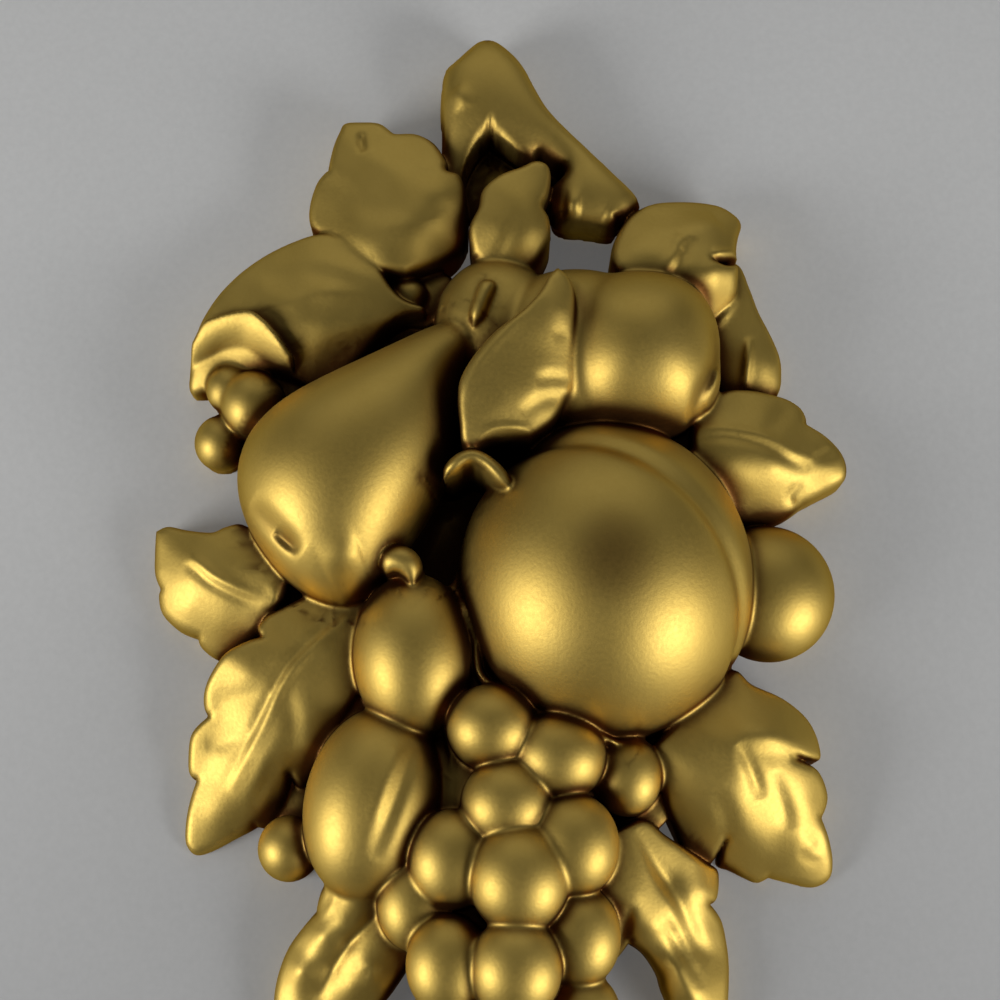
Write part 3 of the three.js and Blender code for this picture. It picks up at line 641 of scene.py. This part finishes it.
def fruit_map(f, px, pz):
    """A fruit's share of its half size at each plan point, and how fast it grows."""
    angle = math.radians(f.get("turn", 0))
    u = (px - f["x"]) * math.cos(angle) + (pz - f["z"]) * math.sin(angle)
    v = -(px - f["x"]) * math.sin(angle) + (pz - f["z"]) * math.cos(angle)
    n = f.get("boxy", 2)
    share = (np.abs(u / f["rx"]) ** n + np.abs(v / f["rz"]) ** n) ** (1 / n)
    growth = np.hypot(*np.gradient(share, STEP))
    return share, np.maximum(growth, 0.5 / f["rx"])


def dome(share, growth, level, front):
    """Distance to a dome over a plan share, with straight sides under its widest line."""
    s, g = share[..., None], growth[..., None]
    w = (H - level) / np.maximum(front, LEAST_FRONT)
    k = np.sqrt(s * s + w * w)
    slope = np.sqrt((s * g) ** 2 + (w / np.maximum(front, LEAST_FRONT)) ** 2)
    above = (k - 1) * k / np.maximum(slope, 1e-3)
    drop = np.clip((level - H) / np.maximum(level * TUCK_REACH, 1), 0, 1)
    below = (s - 1 + TUCK * drop * drop * (3 - 2 * drop)) / g
    return np.where(H > level, above, below).astype(np.float32)


def beside_path(px, pz, path):
    """Distance to a path, more than nothing on its left, and the share of it before the nearest place."""
    best = np.full(px.shape, 1e9, np.float32)
    side = np.ones(px.shape, np.float32)
    place = np.zeros(px.shape, np.float32)
    for k, (a, d, t, r) in enumerate(stretches(px, pz, path)):
        nearer = r < best
        best = np.where(nearer, r, best)
        side = np.where(nearer, np.sign(d[0] * (pz - a[1]) - d[1] * (px - a[0])), side)
        place = np.where(nearer, (k + t) / (len(path) - 1), place)
    return best * side, place


def relief(px, pz, strokes):
    """Fine carving in plan: round ridges, grooves and soft steps, which fade out towards both ends."""
    total = np.zeros(px.shape, np.float32)
    for points, width, height, *kind in strokes:
        distance, place = beside_path(px, pz, smooth_path(points, 4))
        strength = np.clip(np.sin(math.pi * place), 0, 1) ** STROKE_FADE
        across = distance / width
        if "fold" in kind:
            total += 0.5 * height * strength * (across * np.exp(0.5 - 0.5 * across * across))
        else:
            total += height * strength * np.exp(-across * across)
    return total


def add_fruit(f, soft, strokes=()):
    i, j, px, pz = window_about(f)
    form = dome(*fruit_map(f, px, pz), f["level"], f["front"])
    join(i, j, form - relief(px, pz, strokes)[..., None], soft)


def body_outline(path):
    """The plan outline of a round body, from its path and half widths."""
    ahead = np.gradient(path[:, :2], axis=0)
    ahead /= np.maximum(np.linalg.norm(ahead, axis=1, keepdims=True), 1e-9)
    side = np.stack([ahead[:, 1], -ahead[:, 0]], 1) * path[:, 2:3]
    return np.vstack([path[:, :2] + side, (path[:, :2] - side)[::-1]])


def add_body(stations):
    path = smooth_path(stations)
    path[:, 2:] = np.maximum(path[:, 2:], 0)
    outline = body_outline(path)
    i, j, px, pz = window_over(outline)
    level = path[:, 3].mean()
    crown = (path[:, 3] + path[:, 4]).max()
    join(i, j, dome(*swollen(px, pz, outline), level, crown - level), SOFT_BODY)


def add_pad(pad, soft, strokes, fullness, cut=None):
    """A body that swells over its own outline. A cut is a point and a direction, as x, z and height."""
    outline = smooth_path(pad["outline"] + pad["outline"][:1], 4)[:-1]
    i, j, px, pz = window_over(outline)
    form = dome(*swollen(px, pz, outline, fullness), pad["level"], pad["front"])
    form -= relief(px, pz, strokes)[..., None]
    if cut:
        (x, z, h), (nx, nz, nh) = cut
        form = np.maximum(form, ((px - x) * nx + (pz - z) * nz)[..., None] + (H - h) * nh)
    join(i, j, form.astype(np.float32), soft)


def add_lip():
    """The rolled lip: strips between its crest and its edge are laid on the grid, and eased."""
    top, low = smooth_path(LIP_CREST, LIP_STEPS), smooth_path(LIP_EDGE, LIP_STEPS)
    outline = np.vstack([top[::LIP_SKIP, :2], low[::-LIP_SKIP, :2]])
    i, j, px, pz = window_over(outline)
    total, hits = np.zeros(px.shape), np.zeros(px.shape)
    for s in np.linspace(*LIP_SPAN, LIP_STRIPS):
        strip = top + (low - top) * s
        fall = LIP_BOW * s + (1 - LIP_BOW) * s * abs(s)
        strip[:, 2] = top[:, 2] + (low[:, 2] - top[:, 2]) * fall
        a = np.round((strip[:, 0] - px[0, 0]) / STEP).astype(int)
        b = np.round((strip[:, 1] - pz[0, 0]) / STEP).astype(int)
        held = (a >= 0) & (b >= 0) & (a < px.shape[0]) & (b < px.shape[1])
        np.add.at(total, (a[held], b[held]), strip[held, 2])
        np.add.at(hits, (a[held], b[held]), 1)
    spread, weight = softened(total, LIP_EASE), softened(hits, LIP_EASE)
    far = weight < 1e-3 * weight.max()
    height = np.where(far, low[:, 2].min(), spread / np.maximum(weight, 1e-9))
    height = softened(height, LIP_EASE)
    join(i, j, under(height, signed_distance(px, pz, outline), LIP_RIM), SOFT_LIP)


def smooth_height(levels, along, out):
    """The smoothest surface near these [along, out, height] places, as a thin plate bends."""
    p = np.array(levels, float)

    def bend(r2):
        return 0.5 * r2 * np.log(np.maximum(r2, 1e-6))

    n = len(p)
    square = (p[:, None, :2] - p[None, :, :2]) ** 2
    plate = bend(square.sum(2)) + STIFFNESS * np.eye(n)
    flat = np.column_stack([np.ones(n), p[:, :2]])
    system = np.block([[plate, flat], [flat.T, np.zeros((3, 3))]])
    weights = np.linalg.solve(system, np.concatenate([p[:, 2], np.zeros(3)]))
    total = weights[n] + weights[n + 1] * along + weights[n + 2] * out
    for (a, o, _), w in zip(p, weights[:n]):
        total = total + w * bend((along - a) ** 2 + (out - o) ** 2)
    return total


def ripple(px, pz):
    """The slight unevenness of hand-made leaves, in millimetres."""
    chance = np.random.default_rng(RIPPLE_SEED)
    total = 0
    for _ in range(RIPPLE_WAVES):
        turn, phase = chance.uniform(0, 2 * math.pi, 2)
        wave = chance.uniform(*RIPPLE_LENGTHS)
        total = total + np.sin((px * math.cos(turn) + pz * math.sin(turn)) * 2 * math.pi / wave + phase)
    return RIPPLE * total


def under(height, distance, rim):
    """Distance to what lies under a surface and within an outline, with the edge between them rounded."""
    slope = np.sqrt(1 + sum(g * g for g in np.gradient(height, STEP)))
    top = (H - height[..., None]) / slope[..., None]
    wall = distance[..., None]
    over = np.maximum(rim - np.abs(top - wall), 0)
    return (np.maximum(top, wall) + over * over / (4 * rim)).astype(np.float32)


def add_leaf(leaf):
    edge = smooth_path(leaf["edge"] + leaf["edge"][:1], 5)[:-1]
    angle = math.radians(leaf["heading"])
    c, s = math.cos(angle), math.sin(angle)
    bx, bz = leaf["base"]
    outline = np.stack([bx + edge[:, 0] * c - edge[:, 1] * s, bz + edge[:, 0] * s + edge[:, 1] * c], 1)
    i, j, px, pz = window_over(outline)
    along = (px - bx) * c + (pz - bz) * s
    out = -(px - bx) * s + (pz - bz) * c
    d = signed_distance(px, pz, outline)
    swell = np.sqrt(np.clip(swelling(d), 0, 1))
    height = smooth_height(leaf["levels"], along, out) - EDGE_ROLL * (1 - swell) ** 2
    height += FOLD_DEPTH * relief(along, out, leaf["folds"]) + ripple(px, pz)
    join(i, j, under(height, d, RIM), SOFT_LEAF)


def add_peach():
    f = PEACH
    i, j, px, pz = window_about(f)
    form = dome(*fruit_map(f, px, pz), f["level"], f["front"])
    u, v = ((px - f["x"]) / f["rx"])[..., None], ((pz - f["z"]) / f["rz"])[..., None]
    w = (H - f["level"]) / f["front"]
    length = np.maximum(np.sqrt(u * u + v * v + w * w), 1e-3)
    cheek = CHEEK / np.linalg.norm(CHEEK)
    latitude = np.arcsin(np.clip((u * cheek[0] + v * cheek[1] + w * cheek[2]) / length, -1, 1))
    form += SUTURE_DEPTH * np.exp(-(((latitude + SUTURE_SHIFT) / SUTURE_SPAN) ** 2))
    join(i, j, form.astype(np.float32), SOFT_FRUIT)


def add_back():
    """The low oval sheet behind the cluster."""
    x, z, rx, rz = (BACK_CORE[key] for key in ("x", "z", "rx", "rz"))
    i, j, px, pz = window(x - rx, x + rx, z - rz, z + rz)
    share = np.hypot((px - x) / rx, (pz - z) / rz)
    side = ((share - 1) * rx)[..., None]
    join(i, j, np.maximum(H - BACK_CORE["thickness"], side).astype(np.float32), SOFT_BACK)


add_back()
for x, z, level, rx, rz, front in WEBS:
    add_fruit(dict(x=x, z=z, level=level, rx=rx, rz=rz, front=front), SOFT_WEB)
add_fruit(GRAPE_CORE, SOFT_WEB)
for leaf in LEAVES:
    add_leaf(leaf)
add_pad(PEAR, SOFT_BODY, STROKES["pear"], PEAR_FULLNESS)
add_peach()
add_pad(TWIG, SOFT_FRUIT, STROKES["twig"], TWIG_FULLNESS, TWIG_CUT)
add_lip()
for name, fruit in FRUITS.items():
    add_fruit(fruit, SOFT_FRUIT, STROKES.get(name, ()))
for x, z, level, rx, rz in GRAPES:
    grape = dict(x=x, z=z, level=level - GRAPE_DROP, front=rx * GRAPE_CROWN)
    add_fruit(dict(grape, rx=rx * GRAPE_SWELL, rz=rz * GRAPE_SWELL), SOFT_FRUIT)
for stations in list(BODIES.values()) + SEAMS:
    add_body(stations)
field = np.maximum(field, -H)

# ---- The mesh ----


def surface_nets(values):
    """Points in grid steps and four-cornered faces of the surface where the field is nothing."""
    inside = values < 0
    cells = tuple(n - 1 for n in values.shape)
    count = np.zeros(cells, np.uint8)
    for a in np.ndindex(2, 2, 2):
        count += inside[tuple(slice(o, o + n) for o, n in zip(a, cells))]
    active = (count > 0) & (count < 8)
    where = np.argwhere(active)
    number = np.full(cells, -1, np.int32)
    number[active] = np.arange(len(where))
    total = np.zeros((len(where), 3))
    crossings = np.zeros(len(where))
    for axis in range(3):
        for a in np.ndindex(2, 2, 2):
            if a[axis]:
                continue
            b = np.array(a)
            b[axis] = 1
            fa, fb = values[tuple((where + a).T)], values[tuple((where + b).T)]
            cross = (fa < 0) != (fb < 0)
            t = np.where(cross, fa / np.where(cross, fa - fb, 1), 0)
            point = np.array(a) + t[:, None] * (b - np.array(a))
            total += point * cross[:, None]
            crossings += cross
    points = where + total / crossings[:, None]
    quads = []
    for axis in range(3):
        u, v = [k for k in range(3) if k != axis]
        low = tuple(slice(0, -1) if k == axis else slice(1, -1) for k in range(3))
        high = tuple(slice(1, None) if k == axis else slice(1, -1) for k in range(3))
        first, second = inside[low], inside[high]
        at = np.argwhere(first != second)
        full = at.copy()
        full[:, u] += 1
        full[:, v] += 1
        corner = []
        for du, dv in ((-1, -1), (0, -1), (0, 0), (-1, 0)):
            cell = full.copy()
            cell[:, u] += du
            cell[:, v] += dv
            corner.append(number[tuple(cell.T)])
        face = np.stack(corner, 1)
        outward = first[tuple(at.T)]
        if axis == 1:
            outward = ~outward
        face[~outward] = face[~outward][:, ::-1]
        quads.append(face)
    return points, np.vstack(quads)


def sampled(values, at):
    """The field between its grid points."""
    at = np.clip(at, 0, np.array(values.shape) - 1.001)
    cell = at.astype(int)
    f = at - cell
    total = 0
    for a in np.ndindex(2, 2, 2):
        weight = np.prod(np.where(a, f, 1 - f), axis=1)
        total = total + weight * values[tuple((cell + a).T)]
    return total


def gradient_at(values, at):
    steps = np.eye(3)
    return np.stack([(sampled(values, at + e) - sampled(values, at - e)) / (2 * STEP) for e in steps], 1)


def new_mesh(name, points, faces):
    mesh = bpy.data.meshes.new(name)
    mesh.vertices.add(len(points))
    mesh.vertices.foreach_set("co", points.astype(np.float32).ravel())
    n, sides = faces.shape
    mesh.loops.add(n * sides)
    mesh.loops.foreach_set("vertex_index", faces.astype(np.int32).ravel())
    mesh.polygons.add(n)
    mesh.polygons.foreach_set("loop_start", np.arange(n, dtype=np.int32) * sides)
    mesh.polygons.foreach_set("loop_total", np.full(n, sides, np.int32))
    mesh.update(calc_edges=True)
    return mesh


ORIGIN = np.array((X[0], Z[0], H[0]))
MOST_FACES = 195000
# A point within this many steps of the wall is on the flat back.
ON_BACK = 0.45
# Thinning moves points off the surface. They are moved back on to it in a few short steps.
RETURNS = 2
LONGEST_RETURN = 0.4
LEAST_FALL = 0.05
# Creases are felt for at these distances in millimetres, each with its share of the whole.
CREASE_REACHES = ((1.5, 0.15), (3.0, 0.2), (6.0, 0.2), (12.0, 0.2), (22.0, 0.25))
HOLLOW_REACH = 9.0
HOLLOW_DEPTH = 18.0
BACK_FACING = 0.98
# The CAD part's height and the middle of its box, in its own millimetres.
DESIGN_HEIGHT = 355.0
DESIGN_MIDDLE = (-0.7, -2.5)

low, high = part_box("fruit_plaque")
MM = (high.z - low.z) / DESIGN_HEIGHT
SHIFT_X = (low.x + high.x) / 2 - DESIGN_MIDDLE[0] * MM
SHIFT_Z = (low.z + high.z) / 2 - DESIGN_MIDDLE[1] * MM
BACK_Y = high.y

points, quads = surface_nets(field)
raw = new_mesh("raw", points, quads)
piece = bpy.data.objects.new("fruit_plaque_gold", raw)
bpy.context.scene.collection.objects.link(piece)
thin = piece.modifiers.new("thin", "DECIMATE")
thin.ratio = min(MOST_FACES / (2 * len(quads)), 1)
thin.use_collapse_triangulate = True
made = bpy.data.meshes.new_from_object(piece.evaluated_get(bpy.context.evaluated_depsgraph_get()))
piece.modifiers.clear()
count = len(made.vertices)
at = np.zeros(count * 3, np.float32)
made.vertices.foreach_get("co", at)
at = at.reshape(-1, 3).astype(float)
back = np.abs(at[:, 2] * STEP + H[0]) < ON_BACK * STEP
for _ in range(RETURNS):
    g = gradient_at(field, at)
    value = sampled(field, at)
    move = -(value / np.maximum((g * g).sum(1), LEAST_FALL))[:, None] * g / STEP
    size = np.linalg.norm(move, axis=1, keepdims=True)
    move *= np.minimum(1, LONGEST_RETURN / np.maximum(size, NEARLY_NOTHING))
    at[~back] += move[~back]
at[back, 2] = -H[0] / STEP
normal = gradient_at(field, at)
normal /= np.maximum(np.linalg.norm(normal, axis=1, keepdims=True), 1e-9)
mm = at * STEP + ORIGIN
mm[:, 2] = np.maximum(mm[:, 2], 0)
world = np.stack([mm[:, 0] * MM + SHIFT_X, BACK_Y - mm[:, 2] * MM, mm[:, 1] * MM + SHIFT_Z], 1)
made.vertices.foreach_set("co", world.astype(np.float32).ravel())
made.update()
piece.data = made
made.name = "fruit_plaque_gold"
bpy.data.meshes.remove(raw)


def store(name, values):
    """Keeps a value for each point of the mesh, for the material to read. The flat back has none."""
    values[back] = 0
    made.attributes.new(name, "FLOAT", "POINT").data.foreach_set("value", values.astype(np.float32))


# How deep each point lies between its neighbours, from 0 in the open to 1 in the tightest crease.
crease = np.zeros(count)
for reach, share in CREASE_REACHES:
    out = sampled(field, at + normal * reach / STEP)
    crease += share * np.clip(1 - out / reach, 0, 1)
# The finish paints brown in the creases from this: partly the paint's antiquing, partly painted shade.
store("crease", crease)

# How far each point lies below the tops around it, from 0 to 1.
solid = field < 0
tops = np.where(solid.any(axis=2), H[len(H) - 1 - np.argmax(solid[:, :, ::-1], axis=2)], 0.0)
around = softened(tops, HOLLOW_REACH)[..., None]
column = np.column_stack([at[:, :2], np.zeros(count)])
below = sampled(np.repeat(around, 2, axis=2), column) - mm[:, 2]
# The finish paints near-black shade in the deep gaps from this.
store("hollow", np.clip(below / HOLLOW_DEPTH, 0, 1))

# Smooth normals from the field, and flat ones on the back.
facing = np.stack([normal[:, 0], -normal[:, 2], normal[:, 1]], 1)
corners = np.zeros(len(made.loops), np.int32)
made.loops.foreach_get("vertex_index", corners)
flat = np.zeros(len(made.polygons) * 3, np.float32)
made.polygons.foreach_get("normal", flat)
flat = flat.reshape(-1, 3)
on_back = np.repeat(flat[:, 1] > BACK_FACING, 3) & back[corners]
corner_normals = facing[corners]
corner_normals[on_back] = (0, 1, 0)
edge_side = back[corners] & ~on_back
corner_normals[edge_side] = np.repeat(flat, 3, axis=0)[edge_side]
made.polygons.foreach_set("use_smooth", np.ones(len(made.polygons), bool))
made.normals_split_custom_set(corner_normals.tolist())

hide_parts("fruit_plaque")
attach(piece, "root")

# ---- The finish ----


def add_node(tree, kind, **values):
    node = tree.nodes.new(kind)
    for key, value in values.items():
        setattr(node, key, value)
    return node


def object_place(tree):
    return add_node(tree, "ShaderNodeTexCoord").outputs["Object"]


def noise(tree, scale, detail=2):
    node = add_node(tree, "ShaderNodeTexNoise")
    node.inputs["Scale"].default_value = scale
    node.inputs["Detail"].default_value = detail
    tree.links.new(object_place(tree), node.inputs["Vector"])
    return node.outputs["Fac"]


def ranged(tree, value, start, end, **settings):
    """A value as a share of the way from a start to an end."""
    node = add_node(tree, "ShaderNodeMapRange", **settings)
    node.inputs["From Min"].default_value = start
    node.inputs["From Max"].default_value = end
    tree.links.new(value, node.inputs["Value"])
    return node.outputs["Result"]


def stored(tree, name, start, end):
    """A value that the mesh keeps for its points, eased between a start and an end."""
    value = add_node(tree, "ShaderNodeAttribute", attribute_name=name).outputs["Fac"]
    return ranged(tree, value, start, end, interpolation_type="SMOOTHSTEP")


def mixed(tree, share, first, second, **settings):
    """A share of the way from the first colour to the second. Each is a constant or a node's output."""
    node = add_node(tree, "ShaderNodeMix", data_type="RGBA", **settings)
    for name, value in (("Factor", share), ("A", first), ("B", second)):
        if isinstance(value, bpy.types.NodeSocket):
            tree.links.new(value, node.inputs[name])
        else:
            node.inputs[name].default_value = value
    return node.outputs["Result"]


GOLD = (0.66, 0.47, 0.12, 1)
DEEP_GOLD = (0.57, 0.395, 0.09, 1)
# Brown in the creases: partly real antiquing, partly painted shade where neighbouring forms crowd in.
CREASE_ANTIQUING_AND_SHADE = (0.13, 0.055, 0.014, 1)
# Painted shade, nearly black, for the deep gaps below the tops around them.
HOLLOW_SHADE = (0.045, 0.02, 0.007, 1)
GOLD_GLANCE = (0.5, 0.33, 0.16, 1)


def gold_material():
    """Gold paint with fine grain, patchy in tone, with brown antiquing and painted shade in the creases and
    painted shade nearly black in deep gaps.
    """
    material = bpy.data.materials.new("gold_paint")
    material.use_nodes = True
    tree = material.node_tree
    shader = tree.nodes["Principled BSDF"]
    link = tree.links.new
    shader.inputs["Metallic"].default_value = 1.0
    shader.inputs["Specular Tint"].default_value = GOLD_GLANCE
    colour = mixed(tree, noise(tree, 60, 4), GOLD, DEEP_GOLD)
    # Painted shade and antiquing: brown where the crease measure says neighbours crowd in.
    colour = mixed(tree, stored(tree, "crease", 0.16, 0.66), colour, CREASE_ANTIQUING_AND_SHADE)
    # Painted shade: nearly black deep in the gaps.
    colour = mixed(tree, stored(tree, "hollow", 0.2, 0.85), colour, HOLLOW_SHADE)
    link(colour, shader.inputs["Base Color"])

    grain = noise(tree, 900, 3)
    rough = add_node(tree, "ShaderNodeMapRange")
    rough.inputs["To Min"].default_value = 0.46
    rough.inputs["To Max"].default_value = 0.57
    link(grain, rough.inputs["Value"])
    link(rough.outputs["Result"], shader.inputs["Roughness"])
    bump = add_node(tree, "ShaderNodeBump")
    bump.inputs["Strength"].default_value = 0.15
    bump.inputs["Distance"].default_value = 0.0003
    link(grain, bump.inputs["Height"])
    link(bump.outputs["Normal"], shader.inputs["Normal"])
    return material


piece.data.materials.clear()
piece.data.materials.append(gold_material())

# ---- The stage, light and camera ----


# The wall's tone from bottom to top: painted shade makes it darker low down.
WALL_LOW_SHADED = (0.24, 0.24, 0.24, 1)
WALL_HIGH = (0.64, 0.64, 0.63, 1)


def wall_material():
    """Pale plaster, darkened low down by painted shade."""
    material = bpy.data.materials.new("pale_wall")
    material.use_nodes = True
    tree = material.node_tree
    shader = tree.nodes["Principled BSDF"]
    parts = add_node(tree, "ShaderNodeSeparateXYZ")
    tree.links.new(object_place(tree), parts.inputs["Vector"])
    # Painted shade: the wall darkens towards the bottom.
    tone = mixed(tree, ranged(tree, parts.outputs["Z"], -0.25, 0.12), WALL_LOW_SHADED, WALL_HIGH)
    speckled = mixed(tree, 0.12, tone, noise(tree, 500), blend_type="MULTIPLY")
    tree.links.new(speckled, shader.inputs["Base Color"])
    shader.inputs["Roughness"].default_value = 0.6
    # The wall glows faintly though it is no lamp: painted light that lifts the shadows cast on it.
    shader.inputs["Emission Color"].default_value = (1, 1, 1, 1)
    shader.inputs["Emission Strength"].default_value = 0.08
    return material


# The wall's half size and its place, in metres. Then, in millimetres, the size of its squares, the height
# at which the plaque's footprint is taken, and how far the opening stays inside that footprint.
WALL = 3.0
WALL_Y = 0.0006
SQUARE = 3.0
FOOTPRINT_HEIGHT = 1.5
INSET = 4.0


def wall_faces():
    """The wall as squares, left open behind the plaque, so that its flat back can be seen from behind."""
    inside = field[:, :, int((FOOTPRINT_HEIGHT - H[0]) / STEP)] < 0
    pace = int(SQUARE / STEP)
    margin = int(INSET / STEP)
    xs = np.concatenate([[-WALL], X[::pace] * MM + SHIFT_X, [WALL]])
    zs = np.concatenate([[-WALL], Z[::pace] * MM + SHIFT_Z, [WALL]])
    points = np.array([(x, WALL_Y, z) for x in xs for z in zs])
    faces = []
    for a in range(len(xs) - 1):
        for b in range(len(zs) - 1):
            i0, j0 = (a - 1) * pace, (b - 1) * pace
            held = a > 0 and b > 0 and a < len(xs) - 2 and b < len(zs) - 2
            i1, j1 = i0 + pace + 1 + margin, j0 + pace + 1 + margin
            if held and inside[max(i0 - margin, 0):i1, max(j0 - margin, 0):j1].all():
                continue
            k = a * len(zs) + b
            faces.append((k, k + len(zs), k + len(zs) + 1, k + 1))
    return points, np.array(faces)


wall_mesh = new_mesh("wall", *wall_faces())
wall = bpy.data.objects.new("wall", wall_mesh)
wall_mesh.materials.append(wall_material())
bpy.context.scene.collection.objects.link(wall)

# The camera looks up a little, from straight in front.
TILT = math.radians(13.0)
TARGET = np.array((0.0, -0.020, 0.020))
DISTANCE = 0.6
LENS = 69.7
forward = np.array((0.0, math.cos(TILT), math.sin(TILT)))
upward = np.array((0.0, -math.sin(TILT), math.cos(TILT)))
camera = bpy.data.objects.new("camera", bpy.data.cameras.new("camera"))
camera.data.lens = LENS
camera.data.sensor_width = 36
camera.data.clip_start = 0.01
camera.location = TARGET - DISTANCE * forward
camera.rotation_euler = (math.radians(90) + TILT, 0, 0)
bpy.context.scene.collection.objects.link(camera)
bpy.context.scene.camera = camera


def add_light(name, right, up, towards, distance, size, watts):
    """A soft studio light. Its direction from the plaque is in the camera's own axes."""
    direction = right * np.array((1.0, 0, 0)) + up * upward - towards * forward
    direction /= np.linalg.norm(direction)
    data = bpy.data.lights.new(name, "AREA")
    data.shape = "RECTANGLE"
    data.size, data.size_y = size
    data.energy = watts
    light = bpy.data.objects.new(name, data)
    light.location = TARGET + direction * distance
    light.rotation_euler = Vector(tuple(-direction)).to_track_quat("-Z", "Y").to_euler()
    bpy.context.scene.collection.objects.link(light)


add_light("left", -0.83, -0.26, 0.49, 0.9, (0.42, 0.42), 4.9)
add_light("right", 0.75, -0.42, 0.51, 0.9, (0.42, 0.42), 4.9)
add_light("top", 0.0, 1.0, 0.35, 1.2, (1.6, 0.9), 2.3)

studio = bpy.data.worlds.new("studio")
studio.use_nodes = True
background = studio.node_tree.nodes["Background"]
background.inputs["Color"].default_value = (0.8, 0.85, 0.9, 1)
background.inputs["Strength"].default_value = 0.06
bpy.context.scene.world = studio
bpy.context.scene.view_settings.view_transform = "Standard"

bpy.context.view_layer.update()
